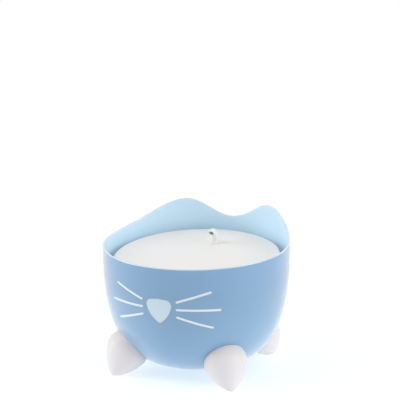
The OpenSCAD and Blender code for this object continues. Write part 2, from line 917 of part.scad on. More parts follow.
module flow_knob() {
    color(warm_white)
        pump_place()
            translate([-axis_from_end, -knob_w / 2, pump_z + knob_z])
                rotate([90, 0, -90]) {
                    translate([0, 0, seat_gap])
                        linear_extrude(knob_out - seat_gap)
                            rounded_plan(knob_w, knob_w, 1.5);
                    translate([0, 0, -2.4])
                        linear_extrude(2.8)
                            square([5, 3.4], center = true);
                }
}

// ---- Riser tube ----

module riser_tube() {
    color([0.95, 0.93, 0.9, 0.6])
        translate([0, tube_y, tube_z])
            difference() {
                cylinder(r = tube_r, h = tube_l);
                translate([0, 0, -1])
                    cylinder(r = tube_bore, h = tube_l + 2);
            }
}

// ---- Filter tray ----

module basin(depth, shrink) {
    intersection() {
        translate([0, -basin_y, tray_z - depth])
            cylinder(r1 = basin_r - shrink - basin_slope, r2 = basin_r - shrink + basin_slope / 10, h = 1.1 * depth);
        translate([0, 0, tray_z - depth])
            cylinder(r1 = tray_r - tray_ledge - shrink - 3, r2 = tray_r - tray_ledge - shrink + 0.3, h = 1.1 * depth);
    }
}

module pocket_wells() {
    pad_w = (filter_w - 2 * flange_rim - pad_gap) / 2;
    pad_l = (filter_l - 2 * flange_rim - pad_gap) / 2;
    floor_z = basin_z - pocket_d + tray_t;
    for (x = [-1, 1])
        for (y = [-1, 1])
            translate([x * (pad_w + pad_gap) / 2, y * (pad_l + pad_gap) / 2 - filter_y, floor_z])
                linear_extrude(pocket_d + basin_d)
                    rounded_plan(pad_w + 2 * drop_gap, pad_l + 2 * drop_gap, pad_corner + drop_gap);
    translate([0, -filter_y, basin_z - pad_h / 2])
        linear_extrude(pocket_d)
            rounded_plan(filter_w / 2, filter_l / 2, pad_corner);
}

// Plan of the notch that lets a finger under the cartridge's rear edge.
module notch_plan(grow = 0) {
    translate([0, notch_y])
        circle(notch_r + grow);
    translate([-notch_r - grow, -filter_y + filter_l / 4])
        square([2 * (notch_r + grow), filter_y - filter_l / 4 + notch_y]);
}

module pocket_windows() {
    pad_w = (filter_w - 2 * flange_rim - pad_gap) / 2;
    pad_l = (filter_l - 2 * flange_rim - pad_gap) / 2;
    for (x = [-1, 1])
        for (y = [-1, 1])
            for (k = [-1, 1])
                translate([x * (pad_w + pad_gap) / 2,
                    y * (pad_l + pad_gap) / 2 + k * (window_l + 4) / 2 - filter_y, basin_z - pocket_d - 1])
                    linear_extrude(tray_t + 2)
                        rounded_plan(window_w, window_l, window_l / 4);
}

// The tray's round plan with its flat at the back, where the duct passes.
module tray_blank(inset, low, high) {
    translate([0, 0, low])
        intersection() {
            cylinder(r = tray_r - inset, h = high - low);
            translate([-tray_r, -tray_r, 0])
                cube([2 * tray_r, tray_r + tray_back - inset, high - low]);
        }
}

module filter_tray() {
    color(warm_white)
        difference() {
            union() {
                difference() {
                    tray_blank(0, seat_z + seat_gap, tray_z);
                    tray_blank(tray_t, seat_z, tray_z - tray_t);
                }
                intersection() {
                    translate([0, 0, -tray_t])
                        basin(basin_d, -tray_t);
                    translate([0, 0, basin_z - tray_t])
                        cylinder(r = tray_r - tray_t / 2, h = basin_d + tray_t - 0.1);
                }
                translate([0, -filter_y, basin_z - pocket_d])
                    linear_extrude(pocket_d)
                        rounded_plan(pocket_w, pocket_l, pocket_corner);
                translate([0, 0, basin_z - notch_d])
                    linear_extrude(notch_d)
                        notch_plan(tray_t);
                ring_lugs();
            }
            basin(basin_d, 0);
            pocket_wells();
            pocket_windows();
            translate([0, 0, basin_z - notch_d + tray_t])
                linear_extrude(notch_d)
                    notch_plan();
            for (side = [-1, 1])
                rotate(side * hole_angle)
                    translate([0, -hole_dist, seat_z - 1])
                        cylinder(r = hole_r, h = tray_h + 5);
            translate([0, tube_y, seat_z - 1])
                cylinder(r = cap_r - cap_wall, h = tray_h + 5);
            ring_pin(run_gap, 6.2);
        }
}

// Two lugs that hold the pull ring's pin.
module ring_lugs() {
    for (side = [-1, 1])
        translate([ring_x + side * (ring_w + 0.6) - 1, ring_y, 0]) {
            translate([0, -2, tray_z - 1])
                cube([2, 4, ring_z - tray_z + 1]);
            translate([0, 0, ring_z])
                rotate([0, 90, 0])
                    cylinder(r = 2, h = 2);
        }
}

module ring_pin(grow, length) {
    translate([ring_x - length, ring_y, ring_z])
        rotate([0, 90, 0])
            cylinder(r = 0.9 + grow, h = 2 * length);
}

module tube_cap() {
    color(warm_white)
        translate([0, tube_y, 0])
            difference() {
                union() {
                    rotate_extrude()
                        polygon([
                            [cap_r - cap_wall - 1.2, tray_z - tray_t], [cap_r - cap_wall - 1.2, tray_z + 1],
                            [cap_r - cap_wall, tray_z + 2.2], [cap_r - cap_wall, cap_z - cap_wall - 2],
                            [cap_r - cap_wall - 2, cap_z - cap_wall], [0, cap_z - cap_wall],
                            [0, cap_z], [cap_r - cap_shoulder, cap_z], [cap_r - 1.2, cap_z - 1],
                            [cap_r, cap_z - cap_shoulder], [cap_r, band_z], [cap_r - 0.8, band_z - 0.4],
                            [cap_r - 0.8, tray_z + 0.8], [cap_r, tray_z], [cap_r - cap_wall, tray_z],
                            [cap_r - cap_wall, tray_z - tray_t]
                        ]);
                    translate([0, 0, stem_z])
                        cylinder(r = nozzle_r, h = cap_z - 1 - stem_z);
                    cylinder_between(nipple_r, cap_z - 1, cap_z + nipple_h);
                    for (a = [0, 120, 240])
                        rotate(a + 30)
                            translate([0, -0.9, tray_z])
                                cube([cap_r - cap_wall + 0.5, 1.8, cap_h - cap_wall]);
                }
                cylinder_between(nipple_r - 1.2, stem_z - 1, cap_z + nipple_h + 1);
            }
}

module cylinder_between(r, low, high) {
    translate([0, 0, low])
        cylinder(r = r, h = high - low);
}

// The ring lies flat behind its hinge, and stands up when it is turned by a quarter.
module pull_ring() {
    barrel = ring_w / 2 - 0.1;
    color(warm_white) {
        difference() {
            union() {
                translate([ring_x, ring_y + ring_r + 1, ring_z - ring_w / 2])
                    difference() {
                        cylinder(r = ring_r, h = ring_w);
                        translate([0, 0, -1])
                            cylinder(r = ring_r - ring_t, h = ring_w + 2);
                    }
                translate([ring_x - 3.4, ring_y, ring_z])
                    rotate([0, 90, 0])
                        cylinder(r = barrel, h = 6.8);
            }
            for (side = [-1, 1])
                translate([ring_x + side * 9.4 - 6, ring_y - 5, ring_z - 3])
                    cube([12, 7.5, 6]);
        }
        ring_pin(0, 5.4);
    }
}

// ---- Filter cartridge ----

module filter_flange() {
    color(pale_blue)
        translate([0, -filter_y, filter_z])
            linear_extrude(flange_t)
                difference() {
                    rounded_plan(filter_w, filter_l, flange_corner);
                    circle(filter_hole);
                }
}

module pads(x) {
    pad_w = (filter_w - 2 * flange_rim - pad_gap) / 2;
    pad_l = (filter_l - 2 * flange_rim - pad_gap) / 2;
    for (y = [-1, 1])
        translate([x * (pad_w + pad_gap) / 2, y * (pad_l + pad_gap) / 2 - filter_y, filter_z - pad_h])
            difference() {
                linear_extrude(pad_h)
                    rounded_plan(pad_w, pad_l, pad_corner);
                translate([-x * (pad_w + pad_gap) / 2, -y * (pad_l + pad_gap) / 2, -1])
                    cylinder(r = filter_hole, h = pad_h + 2);
            }
}

module carbon_pads() {
    color(carbon_grey)
        pads(-1);
}

module resin_pads() {
    color(resin_peach)
        pads(1);
}

// ---- Drinking lid ----

module below_lid_plane(drop) {
    reach = 3 * lid_r;
    translate([0, -lid_r, lid_z + lid_front - drop])
        rotate([lid_slope, 0, 0])
            translate([-reach, -reach, -4 * lid_r])
                cube([2 * reach, 2 * reach, 4 * lid_r]);
}

module dish_ball(drop) {
    rotate([lid_slope, 0, 0])
        translate([0, 0, dish_sphere - lid_dish - drop])
            sphere(dish_sphere, $fn = 240);
}

module lid_centre() {
    translate([0, 0, lid_plane(0)])
        children();
}

module drinking_lid() {
    gate_x = lid_r * sin(lid_gate);
    color(warm_white)
        difference() {
            intersection() {
                cylinder_between(lid_r, lid_z, lid_z + 2 * room);
                below_lid_plane(0);
            }
            lid_centre() dish_ball(0);
            difference() {
                intersection() {
                    cylinder_between(lid_r - lid_t, lid_z - 1, lid_z + 2 * room);
                    below_lid_plane(lid_t);
                }
                lid_centre() dish_ball(lid_t);
            }
            translate([-gate_x, -lid_r - 1, lid_z - 1])
                cube([2 * gate_x, lid_r / 4, lid_front - lid_t + 0.9]);
            translate([0, tube_y, lid_z])
                cylinder(r = collar_r + run_gap, h = 2 * room);
        }
}

// ---- Spout ----

module spout_collar() {
    color(warm_white)
        translate([0, tube_y, collar_z])
            rotate_extrude()
                polygon([
                    [nipple_r + run_gap, 0], [collar_r, 0], [collar_r, collar_h],
                    [spout_r + run_gap, collar_h], [spout_r + run_gap, collar_h - 4.5],
                    [nipple_r + run_gap, collar_h - 4.5]
                ]);
}

module spout_elbow() {
    start = collar_z + collar_h - 4.5 + seat_gap;
    straight = spout_neck + 4.5 - seat_gap;
    color(warm_white)
        translate([0, tube_y, start]) {
            linear_extrude(straight)
                spout_section();
            translate([0, -spout_bend, straight])
                rotate([90, 0, 90])
                    rotate_extrude(angle = spout_turn)
                        translate([spout_bend, 0])
                            spout_section();
        }
}

module spout_section() {
    difference() {
        circle(spout_r);
        circle(spout_bore);
    }
}

bowl();
nose_window();
whisker_inlays();
foot(-foot_front_angle);  // foot_front_left
foot(foot_front_angle);  // foot_front_right
foot(-foot_rear_angle);  // foot_rear_left
foot(foot_rear_angle);  // foot_rear_right
duct_cover();
power_cord();
cord_coil();
cord_tie();
usb_plug_grip();
usb_plug_shell();
pump_housing();
pump_nozzle();
intake_cover();
impeller_shaft();
indicator_lens();
cord_gland();
pump_lead();
flow_knob();
impeller_wheel();
impeller_magnet();
riser_tube();
filter_tray();
tube_cap();
pull_ring();
filter_flange();
carbon_pads();
resin_pads();
drinking_lid();
spout_collar();
spout_elbow();
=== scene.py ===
"""Builds the looks of a cat-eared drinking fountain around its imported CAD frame."""

from functools import partial
from math import asin, atan2, cos, degrees, exp, hypot, pi, radians, sin, sqrt, tan, tau

import bmesh
import bpy
from bpy.props import FloatProperty, PointerProperty, StringProperty
from mathutils import Matrix, Vector


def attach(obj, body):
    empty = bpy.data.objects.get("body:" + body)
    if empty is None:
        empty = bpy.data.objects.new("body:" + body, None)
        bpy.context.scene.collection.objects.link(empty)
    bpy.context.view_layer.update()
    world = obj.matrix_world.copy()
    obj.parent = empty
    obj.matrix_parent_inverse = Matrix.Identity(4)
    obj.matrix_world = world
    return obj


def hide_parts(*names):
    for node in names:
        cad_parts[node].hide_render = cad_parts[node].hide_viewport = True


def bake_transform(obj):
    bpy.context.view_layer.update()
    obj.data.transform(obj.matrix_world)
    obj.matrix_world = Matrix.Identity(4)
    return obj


bl_info = {
    "name": "Pet drinking fountain",
    "version": (1, 0, 0),
    "blender": (4, 5, 0),
    "location": "View3D > Sidebar > Fountain",
    "description": "Makes the moulded bowl, feet, face, pump, tray, filter, lid, spout and cord of a pet fountain",
    "category": "Object",
}

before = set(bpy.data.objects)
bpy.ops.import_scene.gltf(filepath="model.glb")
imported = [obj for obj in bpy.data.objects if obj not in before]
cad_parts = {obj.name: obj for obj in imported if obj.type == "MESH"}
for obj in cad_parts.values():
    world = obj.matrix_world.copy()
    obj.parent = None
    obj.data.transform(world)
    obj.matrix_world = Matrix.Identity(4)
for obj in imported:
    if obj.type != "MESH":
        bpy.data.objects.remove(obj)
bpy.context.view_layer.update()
MM = 0.001

# Sizes that the pieces share with the frame, in millimetres and degrees.
BELLY_TOP, BELLY_BASE, BELLY_POWER = 175.0, 6.2, 3.1
BOWL_LIFT, BOWL_WALL, BOWL_FLOOR = 9.5, 2.5, 3.0
EAR_ANGLE, EAR_SPREAD, EAR_POWER, RIM_CLIMB = 150.0, 28.0, 1.93, 11.4
SEAT_Z, TRAY_Z, LID_Z = 123.7, 130.0, 130.3
DUCT_X, DUCT_W, DUCT_FRONT, DUCT_ROUND, DUCT_LOW, DUCT_HIGH = -9.0, 34.0, 107.0, 8.0, 98.0, 148.0
DUCT_ROOF, CHANNEL_W, COVER_W, COVER_T = 2.0, 16.0, 18.0, 0.9
SLOT_W, SLOT_H, SLOT_Z, SLOT_R = 15.0, 12.0, 139.0, 3.0
RIB_T, RIB_R, RIB_LOW, RIB_SHOULDER, RIB_BACK = 2.2, 106.4, 64.0, 95.0, 10 * 31 / 95
RIB_ANGLES = (-119, -61, 61, 119)
TUBE_Y, PUMP_Z, PUMP_YAW = 58.0, 32.5, 48.0
PUMP_L, PUMP_W, PUMP_H, PUMP_BACK = 54.0, 32.0, 33.5, -10.5
FACE_DEPTH, FACE_SINK = 1.3, 0.2
TRAY_R, TRAY_BACK, TRAY_T, FILTER_Y = 108.4, 106.2, 2.2, 52.0
POCKET_DEPTH, POCKET_X, POCKET_Y, WELL_X, WELL_Y = 21.0, 90.4, 85.4, 21.5, 20.25
NOTCH_R, NOTCH_Y, NOTCH_DEPTH = 11.0, 15.0, 10.0
BASIN_DEPTH, BASIN_R, BASIN_Y, BASIN_LIP = 4.0, 63.5, -45.0, 4.4
HOLE_X, HOLE_Y, HOLE_R, RING_X, RING_Y, RING_Z = 63.84, 43.06, 11.5, 33.3, 50.2, 132.3

# The routes of the pump's lead and of the power cord, which ends in a coil and a straight tail.
LEAD = [(-34.62, 49.47, 62), (-37.3, 46.5, 62), (-39.97, 43.52, 61.4), (-42.87, 40.75, 60.4),
        (-47.14, 38.4, 59.1), (-51.83, 40.07, 57.8), (-53.98, 44.56, 56.5), (-52.31, 49.25, 55.3),
        (-48.96, 52.97, 54), (-44.95, 57.43, 52.4), (-40.93, 61.89, 50.8), (-36.92, 66.34, 49.4),
        (-32.16, 70.13, 48.5), (-26.5, 75.5, 48), (-20.5, 81, 48), (-15, 86.2, 48.1), (-11.2, 90.6, 48.9),
        (-9.3, 93.9, 50.4), (-9, 95.88, 52), (-9, 96.8, 54)]
CORD = [(-9, y, z) for y, z in (
    (96.8, 54), (99.55, 60), (102.6, 68), (105.05, 76), (107, 84), (108.6, 92), (109.9, 100), (110.9, 108),
    (111.65, 116), (112.2, 124), (112.55, 130), (112.8, 134), (114.7, 138.2), (118.7, 140), (122.7, 138.2),
    *((124.5, z) for z in range(134, 25, -18)))]
CORD += [(-8.8, 124.4, 17), (-7.6, 124.1, 9.5), (-5, 123.6, 4.6), (-1.5, 123.1, 2.1), (3, 123, 1.5), (8.5, 123, 1.5)]
TAIL = [(8.5, 84, 4.5), (3, 84, 4.5), (0.5, 84, 4.4), (-2, 84, 4.15), (-4, 84, 4), (-6, 84, 4)]
COIL_X, COIL_Y, COIL_LOW, COIL_PITCH, COIL_STEPS = 14.0, 103.5, 1.5, 3.0, 36
# Each turn's radius and its layer.
COIL_TURNS = ((19.5, 0), (16.5, 0), (13.5, 0), (13.5, 1), (13.5, 2), (13.5, 3), (16.5, 3), (19.5, 3), (19.5, 2),
              (16.5, 2), (16.5, 1), (19.5, 1))

# Stands a plan on edge: its X runs along Y, its Y upwards and its depth along X.
ON_EDGE = Matrix(((0, 0, 1, 0), (1, 0, 0, 0), (0, 1, 0, 0), (0, 0, 0, 1)))


# Small tools

def srgb(text):
    """Turns a hex colour into the linear numbers that shaders use."""
    values = [int(text[i:i + 2], 16) / 255 for i in (1, 3, 5)]
    return (*(v / 12.92 if v <= 0.04045 else ((v + 0.055) / 1.055) ** 2.4 for v in values), 1.0)


def at(x=0.0, y=0.0, z=0.0, turn=0.0, axis="Z"):
    """A place in millimetres, turned by degrees about one axis."""
    return Matrix.Translation((x * MM, y * MM, z * MM)) @ Matrix.Rotation(radians(turn), 4, axis)


def node(tree, kind, inputs=None, **settings):
    """Adds a node, sets its properties, and gives its inputs values or links. A node stands for its first output."""
    made = tree.nodes.new(kind)
    for key, value in settings.items():
        setattr(made, key, value)
    for key, value in (inputs or {}).items():
        if isinstance(value, bpy.types.Node):
            value = next(socket for socket in value.outputs if socket.enabled)
        if isinstance(value, bpy.types.NodeSocket):
            tree.links.new(value, made.inputs[key])
        else:
            made.inputs[key].default_value = value
    return made


def new_object(name, mesh):
    made = bpy.data.objects.new(name, mesh)
    bpy.context.scene.collection.objects.link(made)
    return made


def object_from_bmesh(name, bm):
    mesh = bpy.data.meshes.new(name)
    bm.to_mesh(mesh)
    bm.free()
    return new_object(name, mesh)


def frozen(made):
    """Applies every modifier, and leaves a plain mesh."""
    depsgraph = bpy.context.evaluated_depsgraph_get()
    mesh = bpy.data.meshes.new_from_object(made.evaluated_get(depsgraph))
    made.modifiers.clear()
    old, made.data = made.data, mesh
    bpy.data.meshes.remove(old)
    return made


def cut(made, *cutters, how="DIFFERENCE"):
    """Cuts, joins or crosses one closed solid with others, and removes those."""
    for cutter in cutters:
        step = made.modifiers.new("cut", "BOOLEAN")
        step.operation = how
        step.solver = "MANIFOLD"
        step.object = cutter
    frozen(made)
    for cutter in cutters:
        bpy.data.objects.remove(cutter)
    return made


def smooth(made, angle=30.0):
    """Shades a piece smooth, with a crease wherever it turns by more than the angle."""
    for face in made.data.polygons:
        face.use_smooth = True
    made.data.set_sharp_from_angle(angle=radians(angle))
    return made


def rounded(made, width, segments=2, angle=35.0):
    """Gives a moulded piece its small edge radius, in millimetres."""
    step = made.modifiers.new("edges", "BEVEL")
    step.width = width * MM
    step.segments = segments
    step.limit_method = "ANGLE"
    step.angle_limit = radians(angle)
    return frozen(made)


def finish_piece(made, body, finishes, slot, *nodes, angle=30.0):
    """Shades a piece, gives it its materials and hands it to the frame."""
    smooth(made, angle)
    made.data.materials.clear()
    for finish in finishes.split():
        made.data.materials.append(MATERIALS[finish])
    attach(made, body)
    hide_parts(*nodes)
    return made


def dressed(name, finish):
    """Gives a CAD node that keeps its own mesh a material."""
    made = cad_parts[name]
    if not made.material_slots:
        made.data.materials.append(MATERIALS[finish])
    for place in made.material_slots:
        place.material = MATERIALS[finish]


def copy_of(name):
    """A merged copy of a CAD node's mesh, with its flat faces made whole."""
    bm = bmesh.new()
    bm.from_mesh(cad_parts[name].data)
    bmesh.ops.remove_doubles(bm, verts=bm.verts, dist=0.002 * MM)
    bmesh.ops.dissolve_limit(bm, angle_limit=radians(0.6), verts=bm.verts, edges=bm.edges)
    return bm


def moulded_copy(name, node_name, width, angle=35.0):
    return rounded(object_from_bmesh(name, copy_of(node_name)), width, angle=angle)


def moulded(name, node_name, width, body, finish, slot, angle=35.0, crease=30.0):
    """A CAD node's copy with its small edge radius, finished and handed to the frame."""
    return finish_piece(moulded_copy(name, node_name, width, angle), body, finish, slot, node_name, angle=crease)


# Shapes

def skinned(name, rows, flat_ends=False, loop=False, place=None):
    """A closed skin over rows of points in millimetres, where a row of one point is a pole."""
    bm = bmesh.new()
    rings = [[bm.verts.new(Vector(point) * MM) for point in row] for row in rows]
    for low, high in zip(rings, rings[1:] + rings[:1] if loop else rings[1:]):
        for k in range(max(len(low), len(high))):
            # A pole stands twice among these, and is kept once.
            corners = [row[i % len(row)] for row, i in ((low, k), (low, k + 1), (high, k + 1), (high, k))]
            bm.faces.new(list(dict.fromkeys(corners)))
    if flat_ends:
        bm.faces.new(rings[0][::-1])
        bm.faces.new(rings[-1])
    bmesh.ops.recalc_face_normals(bm, faces=bm.faces)
    if place is not None:
        bmesh.ops.transform(bm, matrix=place, verts=bm.verts)
    return object_from_bmesh(name, bm)


def ring(points):
    """Even points round the Z axis from the nose's side on, from the (radius, height) of each."""
    turns = [tau * k / len(points) for k in range(len(points))]
    return [(r * sin(a), -r * cos(a), z) for a, (r, z) in zip(turns, points)]


def lathe(name, profile, steps=192, place=None, loop=False):
    """A solid of revolution from (r, z) points that start and end on the axis, or that close on themselves."""
    return skinned(name, [ring([(r, z)] * steps) if r > 1e-6 else [(0, 0, z)] for r, z in profile],
                   loop=loop, place=place)


def rod(name, r, low, high, steps=64, place=None):
    return lathe(name, [(0, low), (r, low), (r, high), (0, high)], steps, place)


def prism(name, outline, low, high, place=None):
    """A closed prism over an (x, y) outline in millimetres."""
    return skinned(name, [[(x, y, z) for x, y in outline] for z in (low, high)], flat_ends=True, place=place)


def block(name, x0, x1, y0, y1, low, high):
    return prism(name, [(x0, y0), (x1, y0), (x1, y1), (x0, y1)], low, high)


def rounded_outline(w, h, r, steps=10, x=0.0, y=0.0):
    wide, high = w / 2 - r, h / 2 - r
    corners = ((wide, high, 0), (-wide, high, 90), (-wide, -high, 180), (wide, -high, 270))
    return [point for cx, cy, start in corners for point in arc(x + cx, y + cy, r, start, start + 90, steps)]


def arc(cx, cy, r, a0, a1, steps):
    return [(cx + r * cos(radians(a0 + (a1 - a0) * k / steps)),
             cy + r * sin(radians(a0 + (a1 - a0) * k / steps))) for k in range(steps + 1)]


def along(points, spacing=1.5):
    """Resamples a Catmull-Rom curve through the points."""
    pts = [Vector(p) for p in points]
    pts = [2 * pts[0] - pts[1]] + pts + [2 * pts[-1] - pts[-2]]
    out = []
    for a, b, c, d in zip(pts, pts[1:], pts[2:], pts[3:]):
        count = max(1, round((c - b).length / spacing))
        for k in range(count):
            t = k / count
            out.append(0.5 * (2 * b + (c - a) * t + (2 * a - 5 * b + 4 * c - d) * t * t
                              + (3 * b - a - 3 * c + d) * t ** 3))
    out.append(pts[-2])
    return out


def tube_mesh(name, path, radius, sides=12):
    """A round cord along a path in millimetres."""
    rows = []
    side = Vector((0, 0, 1))
    for i, point in enumerate(path):
        tangent = (path[min(i + 1, len(path) - 1)] - path[max(i - 1, 0)]).normalized()
        side = (side - side.dot(tangent) * tangent).normalized()
        other = tangent.cross(side)
        rows.append([point + radius * (cos(tau * k / sides) * side + sin(tau * k / sides) * other)
                     for k in range(sides)])
    return skinned(name, rows, flat_ends=True)


def repeated(name, count, pitch, bar_size, start, material):
    """Bars in a row, made by Geometry Nodes from named inputs and then frozen to a plain mesh. Millimetres."""
    group = bpy.data.node_groups.new(name, "GeometryNodeTree")
    add = partial(node, group)
    group.interface.new_socket("Geometry", in_out="OUTPUT", socket_type="NodeSocketGeometry")
    values = {}
    for label, kind, value in (("Count", "Int", count), ("Pitch", "Vector", Vector((pitch, 0, 0)) * MM),
                               ("Start", "Vector", Vector(start) * MM), ("Size", "Vector", Vector(bar_size) * MM),
                               ("Material", "Material", material)):
        made = group.interface.new_socket(label, in_out="INPUT", socket_type="NodeSocket" + kind)
        values[made.identifier] = value
    given = add("NodeGroupInput").outputs
    line = add("GeometryNodeMeshLine", {
        "Count": given["Count"], "Start Location": given["Start"], "Offset": given["Pitch"]}, mode="OFFSET")
    bar = add("GeometryNodeMeshCube", {"Size": given["Size"]})
    placed = add("GeometryNodeInstanceOnPoints", {"Points": line, "Instance": bar})
    real = add("GeometryNodeRealizeInstances", {"Geometry": placed})
    painted = add("GeometryNodeSetMaterial", {"Geometry": real, "Material": given["Material"]})
    add("NodeGroupOutput", {"Geometry": painted})
    made = new_object(name, bpy.data.meshes.new(name))
    step = made.modifiers.new("repeat", "NODES")
    step.node_group = group
    for identifier, value in values.items():
        step[identifier] = value
    return frozen(made)


# Materials

def new_finish(name, colour):
    """An empty material, what adds nodes to it, and the object's own coordinates."""
    made = bpy.data.materials.new(name)
    made.diffuse_color = srgb(colour)
    made.use_nodes = True
    made.node_tree.nodes.clear()
    add = partial(node, made.node_tree)
    return made, add, add("ShaderNodeTexCoord").outputs["Object"]


def plastic(name, colour, roughness, ior=1.5, tint=None, grain=0.9, bump=0.02, coat=0.0, subsurface=0.0,
            sheen=0.0, mottle=60.0, depth=4.0, alpha=1.0, glow=0.0):
    """A moulded plastic or rubber: its colour drifts a little, and its skin has a fine spark-eroded grain.

    The widths of the grain and of the drift (mottle), and the depth that light reaches, are in millimetres. The
    grain of such tools is 0.05 to 0.2 mm and wouldn't show, so it is drawn coarser.
    """
    made, add, place = new_finish(name, colour)
    drift = add("ShaderNodeTexNoise", {"Vector": place, "Scale": 1000 / mottle, "Detail": 2.0})
    base = add("ShaderNodeMix", {"Factor": drift, "A": srgb(colour), "B": srgb(tint or colour)}, data_type="RGBA")
    skin = add("ShaderNodeTexNoise", {"Vector": place, "Scale": 1000 / grain, "Detail": 3.0})
    rough = add("ShaderNodeMapRange", {"Value": skin, "To Min": roughness - 0.04, "To Max": roughness + 0.04})
    relief = add("ShaderNodeBump", {"Height": skin, "Strength": bump, "Distance": 0.05 * MM})
    shader = add("ShaderNodeBsdfPrincipled", {
        "Base Color": base, "Roughness": rough, "Normal": relief, "IOR": ior, "Coat Weight": coat,
        "Coat Roughness": 0.08, "Subsurface Weight": subsurface, "Subsurface Scale": depth * MM,
        "Subsurface Radius": (1.0, 0.9, 0.85), "Alpha": alpha, "Emission Color": srgb(colour),
        "Emission Strength": glow, "Sheen Weight": sheen, "Sheen Roughness": 0.4})
    add("ShaderNodeOutputMaterial", {"Surface": shader})
    return made


def fleece(name, colours, grain, bead, glow):
    """Needled fleece over grains or beads: round cells show through fine crossed fibres, and a painted glow of its
    own colour lightens it.
    """
    made, add, place = new_finish(name, colours[0])
    grains = add("ShaderNodeTexVoronoi", {"Vector": place, "Scale": 1000 / grain})
    fibres = add("ShaderNodeTexNoise", {"Vector": place, "Scale": 1000 / 1.1, "Detail": 4.0, "Roughness": 0.7})
    cloud = add("ShaderNodeTexNoise", {"Vector": place, "Scale": 1000 / 16, "Detail": 1.0})
    ramp = add("ShaderNodeValToRGB", {"Fac": grains})
    for stop, position, colour in zip(ramp.color_ramp.elements, (0.1, 0.75), colours):
        stop.position, stop.color = position, srgb(colour)
    veil = add("ShaderNodeMapRange", {
        "Value": fibres, "From Min": 0.35, "From Max": 0.65, "To Min": 0.1, "To Max": 0.6})
    veiled = add("ShaderNodeMix", {"Factor": veil, "A": ramp, "B": srgb(colours[2])}, data_type="RGBA")
    shade = add("ShaderNodeMapRange", {
        "Value": cloud, "From Min": 0.3, "From Max": 0.7, "To Min": 0.0, "To Max": 0.35})
    base = add("ShaderNodeMix", {"Factor": shade, "A": veiled, "B": srgb(colours[0])}, data_type="RGBA")
    height = add("ShaderNodeMath", {0: grains, 1: -bead, 2: fibres}, operation="MULTIPLY_ADD")
    relief = add("ShaderNodeBump", {"Height": height, "Strength": 0.5, "Distance": 0.3 * MM})
    shader = add("ShaderNodeBsdfPrincipled", {
        "Base Color": base, "Roughness": 0.85, "Normal": relief, "Sheen Weight": 0.25, "Sheen Roughness": 0.5,
        "Emission Color": base, "Emission Strength": glow})
    add("ShaderNodeOutputMaterial", {"Surface": shader})
    return made


def ground_metal(name, colour, roughness, lines):
    """Pressed steel: fine drawing lines along X that stretch its highlights."""
    made, add, place = new_finish(name, colour)
    turned = add("ShaderNodeMapping", {"Vector": place, "Scale": (0.05, 1.0, 1.0)})
    drawn = add("ShaderNodeTexNoise", {"Vector": turned, "Scale": 1000 / lines, "Detail": 3.0})
    rough = add("ShaderNodeMapRange", {"Value": drawn, "To Min": roughness - 0.1, "To Max": roughness + 0.12})
    relief = add("ShaderNodeBump", {"Height": drawn, "Strength": 0.08, "Distance": 0.02 * MM})
    shader = add("ShaderNodeBsdfPrincipled", {
        "Base Color": srgb(colour), "Metallic": 1.0, "Roughness": rough, "Normal": relief})
    add("ShaderNodeOutputMaterial", {"Surface": shader})
    return made


